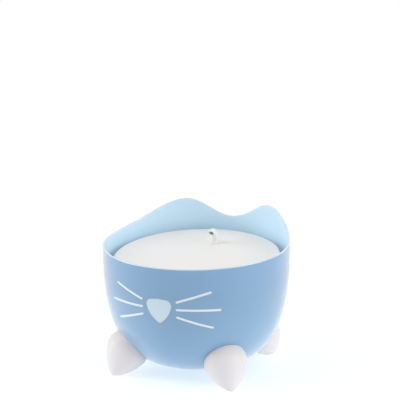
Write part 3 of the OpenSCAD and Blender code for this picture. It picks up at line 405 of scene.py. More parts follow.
def make_materials(look):
    """All finishes, each named for what the real one is."""
    return {
        # Injection-moulded ABS with a polished tool face: clear, soft-edged highlights.
        "shell": plastic("polished_blue_abs", look.shell, 0.34, tint=look.shell_deep, grain=1.4, coat=1.0,
                         mottle=90.0, subsurface=0.6, sheen=0.3, depth=7.0),
        # The same ABS inside the bowl, duller, in a paler copy of the blue: painted light that stands in for the
        # light inside the bowl.
        "inner": plastic("blue_abs_painted_inner_light", look.inner, 0.5, grain=1.1, mottle=90.0,
                         subsurface=0.4, depth=5.0),
        # A painted highlight: the rim's top gets a paler copy of the blue, so it reads as a pale line.
        "rim": plastic("blue_abs_painted_rim_highlight", "#C9DAEE", 0.25, tint="#D2E0F1", grain=1.4, coat=0.8),
        # Thin translucent polypropylene: milky, with light inside it.
        "face": plastic("milky_blue_polypropylene", "#CFE4F3", 0.3, 1.49, "#D9EAF6", subsurface=0.25, coat=0.2),
        "whisker": plastic("white_polypropylene", "#EEF7FC", 0.3, 1.49, "#F2F9FD", subsurface=0.2, coat=0.2),
        "duct": plastic("pale_blue_polypropylene", "#CFE5EE", 0.36, 1.49, "#D6EAF1", subsurface=0.15),
        # White ABS from a fine-blasted tool: satin, so highlights are wide and weak.
        "white": plastic("satin_white_abs", look.white, 0.42, tint="#EDEAE8", grain=1.1, subsurface=0.06),
        "tray": plastic("blasted_white_abs", "#EEEAE9", 0.45, tint="#E9E5E4", grain=1.1, subsurface=0.06),
        # Painted light on the tray: its deck, the cap and the ring get a lighter copy with a painted glow; its basin
        # and wells a cooler, darker copy as painted shade, with a weaker painted glow; its sides the plain copy.
        "deck": plastic("white_abs_painted_glow", "#F8F5F3", 0.42, tint="#F5F2F0", grain=1.1, subsurface=0.06, glow=0.12),
        "basin": plastic("white_abs_painted_basin_shade", "#EFEDF1", 0.38, tint="#ECEAEF", grain=0.7, subsurface=0.06,
                         glow=0.11),
        "feet": plastic("soft_white_abs", "#E6E1E1", 0.5, tint="#DFD9DB", grain=1.2, subsurface=0.08),
        "pump": plastic("matt_white_abs", "#FEF4F0", 0.5, tint="#FCF0EC", grain=0.8, bump=0.06, subsurface=0.1),
        # Extruded silicone: cloudy and soft at its edges. A painted glow stands in for the light that passes through
        # it.
        "tube": plastic("cloudy_silicone", "#FFF4EA", 0.3, 1.41, "#FEF0E4", subsurface=0.2, bump=0.01, alpha=0.3,
                        glow=0.14),
        # A thin heat-formed film with a pale blue cast: the pads show through it, and a painted glow lightens it.
        "film": plastic("pale_blue_film", "#E0ECEE", 0.3, 1.3, "#D5E5E8", bump=0.05, mottle=12.0, alpha=0.36,
                        glow=0.42),
        # Needled polyester over carbon granules and over resin beads: speckled, dull and soft at the edges, with a
        # painted glow.
        "carbon": fleece("carbon_fleece", ("#ABABA5", "#666863", "#E0E0DB"), 2.3, 0.8, glow=0.18),
        "resin": fleece("resin_fleece", ("#F1CDB9", "#D39F82", "#FCEFE7"), 2.1, 1.2, glow=0.18),
        # Soft PVC: an even, slightly greasy sheen, and a painted glow that lightens it.
        "cord": plastic("soft_white_pvc", "#FDF4F2", 0.38, 1.53, "#F9F0EE", sheen=0.1, glow=0.08),
        "plug": plastic("matt_white_pvc", "#F0EDEA", 0.52, 1.53, "#E8E4E1", bump=0.08),
        # Nickel-plated pressed steel, ground alumina, sintered ferrite and clear red acrylic.
        "steel": ground_metal("nickel_plated_steel", "#C9C7C3", 0.3, 0.25),
        "shaft": plastic("ground_alumina", "#E9E7E2", 0.25, 1.76),
        "magnet": plastic("sintered_ferrite", "#2E2E31", 0.45, 2.0, "#3A393B", grain=0.5, bump=0.15),
        "lens": plastic("red_acrylic", "#F0302E", 0.12, 1.49, "#F5473F", coat=0.6, subsurface=0.3, glow=0.25),
    }


MATERIALS = {}


# The bowl's form

def size(name):
    """A size that the user sets, in millimetres."""
    return getattr(bpy.context.scene.fountain_sizes, name) / MM


def belly_radius(z, inset=0.0, low=BELLY_BASE):
    """Radius of the rounded belly at a height, moved in by an inset."""
    t = max(0.0, (BELLY_TOP - z) / (BELLY_TOP - low - inset))
    return (size("radius") - inset) * max(0.0, 1 - t ** BELLY_POWER) ** (1 / BELLY_POWER)


def belly_profile(inset, flat, top, steps, low=BELLY_BASE):
    """Half section of the belly from the axis at its flat underside up to the axis at its top."""
    h = BELLY_TOP - low - inset
    end = asin(((BELLY_TOP - flat) / h) ** (BELLY_POWER / 2))
    r = size("radius") - inset
    points = [(0.0, flat)]
    for k in range(steps):
        a = end * (1 - k / steps)
        points.append((r * cos(a) ** (2 / BELLY_POWER), BELLY_TOP - h * sin(a) ** (2 / BELLY_POWER)))
    return points + [(r, BELLY_TOP), (r, top), (0.0, top)]


def rim_height(angle):
    """Height of the rim, in millimetres, at an angle from the nose in degrees."""
    front, ear, dip = map(size, ("rim_front", "ear_top", "dip_top"))
    a = abs((angle + 180) % 360 - 180)
    if a > EAR_ANGLE:
        return dip + (ear - dip) * (1 - cos(pi * (180 - a) / (180 - EAR_ANGLE))) / 2
    side, at_ear = (front + RIM_CLIMB * (1 - cos(radians(b))) / 2 for b in (a, EAR_ANGLE))
    return side + (ear - at_ear) * exp(-((EAR_ANGLE - a) / EAR_SPREAD) ** EAR_POWER)


def bowl_shell(name, columns=360, climb=18):
    """The shell as one closed skin: outside, rounded rim and inside."""
    edge = BOWL_WALL / 2 - 0.15
    split = 120.0
    tops = [rim_height(360 * k / columns) for k in range(columns)]

    def side(inset, flat, low):
        """Level rows up to the split, and above it rows that climb with the rim."""
        level = [[(r, z)] * columns for r, z in belly_profile(inset, flat, BELLY_TOP, 40, low) if z < split][1:]
        heights = [[split + (top - edge - split) * i / climb for top in tops] for i in range(climb + 1)]
        return level + [[(belly_radius(z, inset, low), z) for z in row] for row in heights]

    rim = []
    for i in range(1, 8):
        a = pi * i / 8
        middle = (BOWL_WALL / 2 - edge) * (1 if i < 4 else -1 if i > 4 else 0)
        rim.append([(belly_radius(top - edge) - BOWL_WALL / 2 + middle + edge * cos(a),
                     top - edge + edge * sin(a)) for top in tops])
    floor = BOWL_LIFT + BOWL_FLOOR
    rows = side(0.0, BOWL_LIFT, BELLY_BASE) + rim + side(BOWL_WALL, floor, BELLY_BASE + BOWL_FLOOR - BOWL_WALL)[::-1]
    return skinned(name, [[(0, 0, BOWL_LIFT)], *map(ring, rows), [(0, 0, floor)]])


def belly_block(name, inset):
    """The belly's outer form as a solid, moved in by an inset, to cut with."""
    return lathe(name, belly_profile(inset, BOWL_LIFT + inset, 230.0, 60), 360)


def nose_outline():
    """Rounded triangle of the nose as (x, z) points."""
    width, height, low = 33.0, 31.4, 86.4
    r, tip = width * 0.22, width * 0.12
    sx, sz = width / 2 - r, low + height - 1 - r
    right = arc(sx, sz, r, 78, -25, 10)
    point = arc(0, low + tip, tip, -35, -90, 5)
    start, end = Vector(right[-1]), Vector(point[0])
    middle = Vector((width * 0.4, low + height * 0.3))
    for k in range(1, 8):
        t = k / 8
        right.append(tuple((1 - t) ** 2 * start + 2 * t * (1 - t) * middle + t * t * end))
    right += point
    return [(0, low + height)] + right + [(-x, z) for x, z in reversed(right[:-1])]


def whisker_outlines():
    """Six capsules as lists of (x, z) points."""
    thick, inner, outer, short = 3.0, 23.2, 70.5, 9.0
    middle_z, gap, rise = 105.2, 9.7, 13.0
    found = []
    for side in (-1, 1):
        for row in (-1, 0, 1):
            start = Vector((side * inner, middle_z + row * gap))
            reach = Vector((side * (outer - abs(row) * short - inner), row * rise))
            turn = degrees(atan2(reach.y, reach.x))
            end = start + reach
            found.append(arc(*end, thick / 2, turn - 90, turn + 90, 8)
                         + arc(*start, thick / 2, turn + 90, turn + 270, 8))
    return found


def face_prism(name, outline):
    """Pushes an (x, z) outline through the front wall."""
    return prism(name, outline, 40.0, 130.0, at(turn=90, axis="X"))


# User settings

class FountainSizes(bpy.types.PropertyGroup):
    radius: FloatProperty(name="Bowl radius", description="Outer radius of the bowl", default=0.118, unit="LENGTH")
    rim_front: FloatProperty(name="Rim height", description="Height of the rim at the nose", default=0.1563,
                             unit="LENGTH")
    ear_top: FloatProperty(name="Ear height", description="Height of the ear tips", default=0.1934, unit="LENGTH")
    dip_top: FloatProperty(name="Dip height", description="Height of the rim between the ears", default=0.1714,
                           unit="LENGTH")
    edge: FloatProperty(name="Edge radius", description="Edge radius of the small moulded pieces", default=0.0005,
                        unit="LENGTH")
    cord: FloatProperty(name="Cord diameter", description="Diameter of the low-voltage cord", default=0.003,
                        unit="LENGTH")


class FountainLooks(bpy.types.PropertyGroup):
    shell: StringProperty(name="Shell", description="Hex colour of the bowl", default="#83ABCE")
    # The inside colour is painted light: a paler blue than the shell, standing in for the light inside the bowl.
    inner: StringProperty(name="Inside", description="Hex colour of the bowl's inside", default="#CBE6FA")
    shell_deep: StringProperty(name="Shell, deeper", description="Hex colour the bowl drifts to", default="#82AACD")
    white: StringProperty(name="White", description="Hex colour of the white pieces", default="#F0EEEB")
    floor: StringProperty(name="Floor", description="Hex colour of the floor", default="#F8FAFC")


# Operators

class MakeCamera(bpy.types.Operator):
    """Places the camera, which looks from the front, a little from the right and from above"""
    bl_idname = "fountain.camera"
    bl_label = "Camera"

    def execute(self, context):
        azimuth, elevation = radians(23.28), radians(12.41)
        distance, pixels, across, up = 2.190, 1748.25, 0.00446, 0.21611
        back = Vector((sin(azimuth) * cos(elevation), -cos(azimuth) * cos(elevation), sin(elevation)))
        right = Vector((cos(azimuth), sin(azimuth), 0))
        lens = bpy.data.cameras.new("camera")
        lens.sensor_width = 36.0
        lens.lens = pixels * 36.0 / 400
        lens.clip_end = 20.0
        made = new_object("camera", lens)
        made.location = Vector((0, 0, up)) + across * right + distance * back
        made.rotation_euler = back.to_track_quat("Z", "Y").to_euler()
        context.scene.camera = made
        return {"FINISHED"}


class MakeCord(bpy.types.Operator):
    """Makes the pump's lead and the power cord with its coil"""
    bl_idname = "fountain.cord"
    bl_label = "Cord"

    def execute(self, context):
        radius = size("cord") / 2 * 0.98
        path = along(LEAD)
        lead = tube_mesh("pump_lead_jacket", path, radius)
        smooth(lead, 60)
        lead.data.materials.append(MATERIALS["cord"])
        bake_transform(lead)
        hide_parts("pump_lead")
        route = along(CORD, 3.0) + self.coil() + along(TAIL, 2.0)
        curve = bpy.data.curves.new("power_cord_jacket", "CURVE")
        curve.dimensions = "3D"
        curve.bevel_depth = radius * MM
        curve.bevel_resolution = 3
        curve.use_fill_caps = True
        spline = curve.splines.new("POLY")
        spline.points.add(len(route) - 1)
        for place, point in zip(spline.points, route):
            place.co = (*(Vector(point) * MM), 1.0)
        curve.materials.append(MATERIALS["cord"])
        cord = new_object("power_cord_jacket", curve)
        tie = moulded("coil_tie", "cord_tie", 0.25, "bowl_body", "plug", "cord_white")
        grip = moulded("plug_grip", "usb_plug_grip", 0.7, "bowl_body", "plug", "plug_white")
        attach(cord, "bowl_body")
        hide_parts("power_cord", "cord_coil")
        dressed("usb_plug_shell", "steel")
        return {"FINISHED"}

    @staticmethod
    def coil():
        """Turns beside and on each other, clockwise from the north point to the south point."""
        order = [(r, COIL_LOW + COIL_PITCH * layer) for r, layer in COIL_TURNS]
        shift = COIL_STEPS // 4
        points = []
        for k in range(len(order) * COIL_STEPS - COIL_STEPS // 2 + 1):
            turn, part = divmod(k, COIL_STEPS)
            turn = min(turn, len(order) - 1)
            r, z = order[turn]
            if turn + 1 < len(order) and part > COIL_STEPS - shift:
                t = (part - COIL_STEPS + shift) / shift
                t = t * t * (3 - 2 * t)
                r += (order[turn + 1][0] - r) * t
                z += (order[turn + 1][1] - z) * t
            a = pi / 2 - tau * k / COIL_STEPS
            points.append((COIL_X + r * cos(a), COIL_Y + r * sin(a), z))
        return points


class MakeBowl(bpy.types.Operator):
    """Makes the bowl with its rounded rim, face recesses, ribs, pump seat and cable slot"""
    bl_idname = "fountain.bowl"
    bl_label = "Bowl"

    def execute(self, context):
        bowl = bowl_shell("bowl_shell")
        cut(bowl, self.seat(), self.duct(), *self.ribs(), how="UNION")
        recess = [cut(face_prism("recess", outline), belly_block("inside", FACE_DEPTH))
                  for outline in (nose_outline(), *whisker_outlines())]
        recess.append(prism("slot", rounded_outline(SLOT_W, SLOT_H, SLOT_R, x=DUCT_X, y=SLOT_Z), 0, 29.4,
                            at(y=130, turn=90, axis="X")))
        cut(bowl, *recess)
        finish_piece(bowl, "bowl_body", "shell inner rim", "shell_blue", "bowl", angle=38)
        # Painted light: faces at the rim's top get the paler rim finish as a painted highlight, and faces inside the
        # wall the lighter inner finish.
        for face in bowl.data.polygons:
            x, y, z = face.center / MM
            reach = hypot(x, y) - belly_radius(z)
            if reach > -BOWL_WALL and z > rim_height(degrees(atan2(x, -y))) - BOWL_WALL * 0.4:
                face.material_index = 2
            elif z > BOWL_LIFT + 1 and reach < -BOWL_WALL * 0.7:
                face.material_index = 1
        return {"FINISHED"}

    @staticmethod
    def seat():
        """Collar and step that the pump stands in."""
        def plan(grow):
            return rounded_outline(PUMP_L + 2 * grow, PUMP_W + 2 * grow, max(1.0, 3 + grow), x=PUMP_BACK)

        place = at(y=TUBE_Y, turn=PUMP_YAW)
        seat = prism("pump_seat", plan(2.5), BOWL_LIFT + 1.5, PUMP_Z + 3, place)
        cut(seat, prism("above_step", plan(0.5), PUMP_Z - 0.3, 80, place), prism("through", plan(-2), 0, 80, place))
        return cut(seat, belly_block("belly", BOWL_WALL / 2), how="INTERSECT")

    @staticmethod
    def ribs():
        """Four upright ribs that carry the tray."""
        wall = [(belly_radius(z, BOWL_WALL / 2), z)
                for z in [SEAT_Z - (SEAT_Z - RIB_LOW) * k / 12 for k in range(13)]]
        inner = [(RIB_R - RIB_BACK, RIB_LOW), (RIB_R, RIB_SHOULDER), (RIB_R, SEAT_Z)]
        upright = at(turn=90, axis="X") @ at(z=-RIB_T / 2)
        return [prism("tray_rib", wall + inner, 0, RIB_T, at(turn=angle - 90) @ upright) for angle in RIB_ANGLES]

    @staticmethod
    def duct():
        """Rounded duct on the back wall, open at the front where its strip goes."""
        left, right, r = DUCT_X - DUCT_W / 2, DUCT_X + DUCT_W / 2, DUCT_ROUND
        plan = ([(right, 125), (right, DUCT_FRONT + r)] + arc(right - r, DUCT_FRONT + r, r, 0, -90, 14)
                + arc(left + r, DUCT_FRONT + r, r, -90, -180, 14) + [(left, 125)])
        duct = rounded(prism("duct", plan, DUCT_LOW, DUCT_HIGH), 1.0, segments=3, angle=60)
        cut(duct, *(block(name, DUCT_X - width / 2, DUCT_X + width / 2, 90, back, DUCT_LOW - 1, DUCT_HIGH - DUCT_ROOF)
                    for name, width, back in (("channel", CHANNEL_W, 130), ("strip", COVER_W, DUCT_FRONT + COVER_T))))
        return cut(duct, belly_block("belly", BOWL_WALL / 2), how="INTERSECT")


class MakeFace(bpy.types.Operator):
    """Makes the nose window and the six whisker inlays"""
    bl_idname = "fountain.face"
    bl_label = "Nose and whiskers"

    def execute(self, context):
        for name, finish, node_name, outlines in (("nose", "face", "nose_window", [nose_outline()]),
                                                  ("whiskers", "whisker", "whisker_inlays", whisker_outlines())):
            solids = []
            for outline in outlines:
                solid = cut(face_prism(name, outline), belly_block("outside", FACE_SINK), how="INTERSECT")
                solids.append(cut(solid, belly_block("inside", FACE_DEPTH)))
            finish_piece(cut(*solids, how="UNION"), "bowl_body", finish, "face_pale", node_name, angle=40)
        dressed("duct_cover", "duct")
        return {"FINISHED"}


class MakeFeet(bpy.types.Operator):
    """Makes the four feet, which lean inwards and close against the belly"""
    bl_idname = "fountain.feet"
    bl_label = "Feet"

    def execute(self, context):
        reach, radius, length, cap, lean, flat = 113.3, 27.0, 39.0, 27.0, 33.0, 0.9

        def width(s):
            if s < length:
                return radius * (1 - ((length - s) / length) ** 1.6) ** 0.8
            return radius * sqrt(max(0.0, 1 - ((s - length) / cap) ** 2))

        stations = [0.15 * k ** 1.55 for k in range(1, 9)]
        start, count = stations[-1], 60
        stations += [start + (length + cap - start) * k / count for k in range(1, count)]
        profile = [(0.0, 0.0)] + [(width(s), s) for s in stations] + [(0.0, length + cap)]
        for name, angle in (("front_left", -46), ("front_right", 46), ("rear_left", -141), ("rear_right", 141)):
            place = at(turn=angle) @ at(0, -reach, -flat, -lean, "X") @ at(z=-length * 0.015)
            foot = lathe("foot_" + name + "_shell", profile, 128, place)
            cut(foot, belly_block("belly", 0.0), block("ground", -200, 200, -200, 200, -40, 0))
            finish_piece(foot, "bowl_body", "feet", "white_shell", "foot_" + name, angle=40)
        return {"FINISHED"}


class MakePump(bpy.types.Operator):
    """Makes the pump's housing, nozzle, knob, lens, gland and intake grille"""
    bl_idname = "fountain.pump"
    bl_label = "Pump"

    def execute(self, context):
        form = rounded(prism("block", rounded_outline(PUMP_L, PUMP_W, 4, x=PUMP_BACK), PUMP_Z, PUMP_Z + PUMP_H), 2.8,
                       segments=5, angle=60)
        form.data.transform(at(y=TUBE_Y, turn=PUMP_YAW))
        case = cut(moulded_copy("pump_case", "pump_housing", 0.4), form, how="INTERSECT")
        finish_piece(case, "pump_body", "pump", "pump_white", "pump_housing")
        moulded("outlet_nozzle", "pump_nozzle", 0.4, "pump_body", "pump", "pump_white")
        moulded("cord_boss", "cord_gland", 0.8, "pump_body", "pump", "pump_white")
        moulded("knob", "flow_knob", size("edge") * 1.4, "knob_body", "pump", "pump_white")
        moulded("lens", "indicator_lens", 0.5, "pump_body", "lens", "lens_red")
        self.grille()
        for name, finish in (("impeller_shaft", "shaft"), ("impeller_magnet", "magnet"), ("impeller_wheel", "pump")):
            dressed(name, finish)
        return {"FINISHED"}

    @staticmethod
    def grille():
        """The intake cover: a frame with bars across its two windows."""
        cover = rounded(prism("grille", rounded_outline(28, 30, 3), 0, 3), 0.4, angle=60)
        for x in (-7.35, 7.35):
            cut(cover, prism("window", rounded_outline(7.3, 15, 0.6, x=x), -1, 4))
            cut(cover, repeated("bars", 3, 2.1, (1.1, 16.0, 2.2), (x - 2.1, 0, 1.4), MATERIALS["pump"]), how="UNION")
        cut(cover, rod("bearing", 1, -1, 2, 24))
        cover.data.transform(at(y=TUBE_Y, turn=PUMP_YAW) @ at(13.5, 0, PUMP_Z + 17) @ ON_EDGE)
        finish_piece(cover, "pump_body", "pump", "pump_white", "intake_cover")


class MakeTube(bpy.types.Operator):
    """Makes the soft riser tube"""
    bl_idname = "fountain.tube"
    bl_label = "Riser tube"

    def execute(self, context):
        low, high, outer, inner, r = 74.0, 118.0, 6.0, 4.8, 0.35
        outline = [point for x, y, start in ((outer - r, low + r, 0), (inner + r, low + r, -90),
                                             (inner + r, high - r, -180), (outer - r, high - r, -270))
                   for point in arc(x, y, r, start, start - 90, 3)]
        tube = lathe("riser", outline, 96, at(y=TUBE_Y), loop=True)
        finish_piece(tube, "tube_body", "tube", "tube_silicone", "riser_tube", angle=60)
        return {"FINISHED"}


class MakeTray(bpy.types.Operator):
    """Makes the filter tray, the tube cap and the folding pull ring"""
    bl_idname = "fountain.tray"
    bl_label = "Filter tray"

    def execute(self, context):
        edge = size("edge")
        tray = finish_piece(self.plate(), "tray_body", "tray basin deck", "white_shell", "filter_tray", angle=38)
        # Painted light and shade: top faces get the lighter, glowing deck finish; upward faces of the basin and faces
        # in the wells get the darker basin finish.
        for face in tray.data.polygons:
            x, y, z = face.center / MM
            pocket = abs(x) < POCKET_X / 2 - 1 and abs(y + FILTER_Y) < POCKET_Y / 2 - 1
            well = pocket or hypot(x, max(0.0, y - NOTCH_Y)) < NOTCH_R + 1.1
            if z > TRAY_Z - 0.1:
                face.material_index = 2
            elif face.normal.z > 0.5 and z > TRAY_Z - 4.2 or well and face.normal.z > -0.3:
                face.material_index = 1
        # The cap and the ring take the deck finish with its painted glow.
        moulded("riser_cap", "tube_cap", edge, "tray_body", "deck", "white_shell")
        moulded("ring", "pull_ring", edge * 1.6, "ring_body", "deck", "white_shell")
        return {"FINISHED"}

    @staticmethod
    def basin(low, grow):
        """The catch basin's form from a height up, where two cones cross."""
        high = low + BASIN_LIP
        back = lathe("basin", [(0, low), (BASIN_R + grow, low), (BASIN_R + 22 + grow, high), (0, high)], 240,
                     at(y=BASIN_Y))
        edge = TRAY_R - 4.5 + grow
        return cut(back, lathe("front", [(0, low), (edge - 3, low), (edge + 0.3, high), (0, high)], 240),
                   how="INTERSECT")

    @staticmethod
    def notch(r, low, high):
        """The finger notch's form: long at the front and round at the back."""
        plan = [(r, -31), (r, NOTCH_Y)] + arc(0, NOTCH_Y, r, 0, 180, 24)[1:-1] + [(-r, NOTCH_Y), (-r, -31)]
        return prism("notch", plan, low, high)

    def plate(self):
        """The tray with its skirt, basin, filter pocket, finger notch, holes and ring lugs."""
        low, floor = SEAT_Z + 0.3, TRAY_Z - BASIN_DEPTH
        pocket_low, notch_low, above = floor - POCKET_DEPTH, floor - NOTCH_DEPTH, floor + 8
        bottom, top = 110, 140
        middle_plan, well_plan, window_plan = (44.5, 42, 9), (39, 36.5, 9.5), (30, 10, 2.5)
        rim = [(0, low), (TRAY_R - 0.5, low), (TRAY_R, low + 0.5)] + arc(TRAY_R - 0.9, TRAY_Z - 0.9, 0.9, 0, 90, 5)
        tray = lathe("tray", rim + [(0, TRAY_Z)], 300)
        under = rod("under", TRAY_R - TRAY_T, low - 1, TRAY_Z - TRAY_T, 300)
        cut(under, block("back", -60, 60, TRAY_BACK - TRAY_T, 130, 0, 200))
        cut(tray, block("back", -60, 60, TRAY_BACK, 130, 0, 200), under)
        pocket = rounded(prism("pocket", rounded_outline(POCKET_X, POCKET_Y, 17, 14, y=-FILTER_Y), pocket_low,
                               floor + 3), 3.0, segments=4, angle=50)
        lobe = rounded(self.notch(NOTCH_R + TRAY_T, notch_low, floor + 3), 2.0, segments=3, angle=50)
        cut(lobe, self.notch(20, floor + 0.1, floor + 9))
        cut(tray, self.basin(floor - TRAY_T, TRAY_T), pocket, lobe, how="UNION")
        lug = [(RING_Y - 2, 129), (RING_Y + 2, 129)] + arc(RING_Y, RING_Z, 2, 0, 180, 16)
        for side in (-4.6, 4.6):
            cut(tray, prism("lug", lug, 0, 2, at(RING_X - 1 + side) @ ON_EDGE), how="UNION")
        cutters = [self.basin(floor, 0.0), rod("pin", 0.95, 0, 12.6, 24, at(27, RING_Y, RING_Z, 90, "Y")),
                   rounded(self.notch(NOTCH_R, notch_low + TRAY_T, above), 1.5, segments=3, angle=50),
                   prism("middle", rounded_outline(*middle_plan, y=-FILTER_Y), floor - 4.75, above),
                   rod("riser", 17.5, bottom, top, 96, at(y=TUBE_Y))]
        r, flare = HOLE_R, HOLE_R + 0.6
        hole = [(0, bottom), (r, bottom), (r, TRAY_Z - 0.6), (flare, TRAY_Z), (flare, top), (0, top)]
        for x in (-1, 1):
            cutters.append(lathe("hole", hole, 64, at(x * HOLE_X, HOLE_Y)))
            for y in (-1, 1):
                cx, cy = x * WELL_X, y * WELL_Y - FILTER_Y
                well = prism("well", rounded_outline(*well_plan, x=cx, y=cy), pocket_low + TRAY_T, above)
                cutters.append(rounded(well, 2.0, segments=3, angle=50))
                for gap in (-7, 7):
                    cutters.append(prism("window", rounded_outline(*window_plan, x=cx, y=cy + gap), 100, 108.5))
        return cut(tray, *cutters)


class MakeFilter(bpy.types.Operator):
    """Makes the filter's welded flange and its four filled pads"""
    bl_idname = "fountain.filter"
    bl_label = "Filter"

    def execute(self, context):
        moulded("flange", "filter_flange", 0.35, "filter_body", "film", "flange_pale")
        for side, name in ((-1, "carbon"), (1, "resin")):
            pads = self.pad(name + "_filled", side, -1)
            cut(pads, self.pad("other", side, 1), how="UNION")
            cut(pads, rod("hole", 8, 100, 140, 64, at(y=-FILTER_Y)))
            finish_piece(pads, "filter_body", name, name + "_fleece", name + "_pads", angle=60)
        return {"FINISHED"}

    @staticmethod
    def pad(name, side, end):
        """A filled pad: flat and welded above, full and round below."""
        x, y, top, low = side * WELL_X, end * WELL_Y - FILTER_Y, 126.3, 116.8
        section = [(6.0, top), (1.6, top - 0.15), (0.5, top - 0.5), (0.0, top - 1.2), (0.0, low + 4.4)]
        section += [(3.8 * (1 - cos(radians(a))), low + 4.4 - 3.7 * sin(radians(a)))
                    for a in (15, 30, 45, 60, 75)] + [(3.8, low + 0.7), (8.4, low + 0.25)]
        rows = [[(px, py, z) for px, py in rounded_outline(38 - 2 * i, 35.5 - 2 * i, 9 - i, 8, x, y)]
                for i, z in section]
        return skinned(name, [[(x, y, top)], *rows, [(x, y, low)]])


class MakeLid(bpy.types.Operator):
    """Makes the sloping lid with its shallow dish"""
    bl_idname = "fountain.lid"
    bl_label = "Drinking lid"

    def execute(self, context):
        radius, thick, front, slope, dish, border, gate = 105.4, 2.0, 4.0, 5.5, 4.0, 3.0, 25.0
        edge, steps = 0.7, 240
        tilt = tan(radians(slope))

        def plane(y):
            return LID_Z + front + (y + radius) * tilt

        def row(r, height):
            return ring([(r, height(-r * cos(tau * k / steps))) for k in range(steps)])

        def dished(r, drop):
            hollow = dish * max(0.0, 1 - (r / (radius - border)) ** 2)
            return row(r, lambda y: plane(y) - hollow - drop)

        across = [(radius - border) * k / 24 for k in range(1, 25)]
        rows = [dished(r, 0) for r in across] + [row(radius - edge, plane)]
        for a in map(radians, (30, 60, 90)):
            rows.append(row(radius - edge + edge * sin(a), lambda y: plane(y) - edge + edge * cos(a)))
        for r, z in ((radius, edge / 2), (radius - edge / 2, 0), (radius - thick + edge / 2, 0),
                     (radius - thick, edge / 2)):
            rows.append(row(r, lambda y: LID_Z + z))
        rows.append(row(radius - thick, lambda y: plane(y) - thick))
        rows += [dished(r, thick) for r in reversed(across)]
        lid = skinned("lid", [[(0, 0, plane(0) - dish)], *rows, [(0, 0, plane(0) - dish - thick)]])
        half = radius * sin(radians(gate))
        cut(lid, block("mouth", -half, half, -107, -80, LID_Z - 1, LID_Z + 1.9),
            rod("hole", 5.3, 120, 190, 64, at(y=TUBE_Y)))
        finish_piece(lid, "lid_body", "white", "white_shell", "drinking_lid", angle=40)
        return {"FINISHED"}


class MakeSpout(bpy.types.Operator):
    """Makes the spout's collar and its bent tube"""
    bl_idname = "fountain.spout"
    bl_label = "Spout"

    def execute(self, context):
        for name in ("collar", "elbow"):
            moulded(name, "spout_" + name, 0.3, name + "_body", "white", "white_shell", 50, 45)
        return {"FINISHED"}


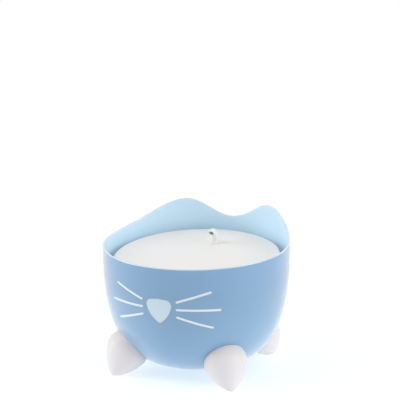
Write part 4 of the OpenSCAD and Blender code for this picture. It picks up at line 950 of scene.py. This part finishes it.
class MakeStage(bpy.types.Operator):
    """Makes the floor, the surroundings and the soft lights"""
    bl_idname = "fountain.stage"
    bl_label = "Studio"

    def execute(self, context):
        scene = context.scene
        scene.view_settings.view_transform = "Standard"
        scene.world = bpy.data.worlds.new("studio")
        scene.world.use_nodes = True
        scene.world.node_tree.nodes.clear()
        add = partial(node, scene.world.node_tree)
        # White where the camera, a reflection or a clear piece sees it, and plain light from above elsewhere.
        seen = add("ShaderNodeLightPath").outputs
        either = add("ShaderNodeMath", {0: seen["Is Camera Ray"], 1: seen["Is Glossy Ray"]}, operation="MAXIMUM")
        any_ray = add("ShaderNodeMath", {0: either, 1: seen["Is Transmission Ray"]}, operation="MAXIMUM")
        up = add("ShaderNodeSeparateXYZ", {0: add("ShaderNodeTexCoord").outputs["Generated"]})
        sky = add("ShaderNodeMapRange", {"Value": up.outputs["Z"], "From Min": -0.3, "From Max": 0.5,
                                         "To Min": 0.4, "To Max": 0.7}, interpolation_type="SMOOTHSTEP")
        strength = add("ShaderNodeMapRange", {"Value": any_ray, "To Min": sky, "To Max": 1.0})
        light = add("ShaderNodeBackground", {"Color": (1, 1, 1, 1), "Strength": strength})
        add("ShaderNodeOutputWorld", {"Surface": light})

        mesh = bpy.data.meshes.new("floor")
        half = 6.0
        mesh.from_pydata([(-half, -half, 0), (half, -half, 0), (half, half, 0), (-half, half, 0)], [], [(0, 1, 2, 3)])
        floor = new_object("floor", mesh)
        # A pale matt paint that glows enough to read as white, keeps the shadow and fades into the background.
        shade = scene.fountain_looks.floor
        paint, add, place = new_finish("white_floor_paint", shade)
        mottle = add("ShaderNodeTexNoise", {"Vector": place, "Scale": 3.0})
        colour = add("ShaderNodeMix", {"Factor": mottle, "A": srgb(shade), "B": srgb("#F5F8FB")}, data_type="RGBA")
        shader = add("ShaderNodeBsdfPrincipled", {"Base Color": colour, "Roughness": 0.9, "Specular IOR Level": 0.1})
        glow = add("ShaderNodeEmission", {"Color": (0.9, 0.97, 1, 1), "Strength": 1.36})
        lit = add("ShaderNodeMixShader", {0: 0.48, 1: shader, 2: glow})
        away = add("ShaderNodeVectorMath", {0: place}, operation="LENGTH")
        fade = add("ShaderNodeMapRange", {"Value": away, "From Min": 0.2, "From Max": 0.5},
                   interpolation_type="SMOOTHSTEP")
        clear = add("ShaderNodeBsdfTransparent")
        add("ShaderNodeOutputMaterial", {"Surface": add("ShaderNodeMixShader", {0: fade, 1: lit, 2: clear})})
        floor.data.materials.append(paint)

        for name, spot, wide, power in (("key", (-1.6, -1.5, 2.2), 1.4, 11), ("left", (-2.2, -0.8, 0.8), 1.4, 20),
                                        ("right", (2.2, -0.1, 0.7), 1.4, 20), ("back", (0.4, 2.0, 1.9), 1.6, 8)):
            lamp = bpy.data.lights.new(name, "AREA")
            lamp.shape, lamp.size, lamp.energy = "DISK", wide, power
            made = new_object(name, lamp)
            made.location = spot
            made.rotation_euler = (Vector(spot) - Vector((0, 0, 0.1))).to_track_quat("Z", "Y").to_euler()
        return {"FINISHED"}


class FountainPanel(bpy.types.Panel):
    """Lists the fountain's pieces and sizes"""
    bl_idname = "VIEW3D_PT_fountain"
    bl_label = "Pet fountain"
    bl_space_type = "VIEW_3D"
    bl_region_type = "UI"
    bl_category = "Fountain"

    def draw(self, context):
        for group in (context.scene.fountain_sizes, context.scene.fountain_looks):
            for name in group.__annotations__:
                self.layout.prop(group, name)
        for made in OPERATORS:
            self.layout.operator(made.bl_idname)


OPERATORS = (MakeCamera, MakeCord, MakeBowl, MakeFace, MakeFeet, MakePump, MakeTube, MakeTray, MakeFilter,
             MakeLid, MakeSpout, MakeStage)
CLASSES = (FountainSizes, FountainLooks, *OPERATORS, FountainPanel)


def register():
    for made in CLASSES:
        bpy.utils.register_class(made)
    bpy.types.Scene.fountain_sizes = PointerProperty(type=FountainSizes)
    bpy.types.Scene.fountain_looks = PointerProperty(type=FountainLooks)


def unregister():
    del bpy.types.Scene.fountain_sizes
    del bpy.types.Scene.fountain_looks
    for made in reversed(CLASSES):
        bpy.utils.unregister_class(made)


def main():
    register()
    MATERIALS.update(make_materials(bpy.context.scene.fountain_looks))
    for made in OPERATORS:
        getattr(bpy.ops.fountain, made.bl_idname.split(".")[1])()


if __name__ == "__main__":
    main()
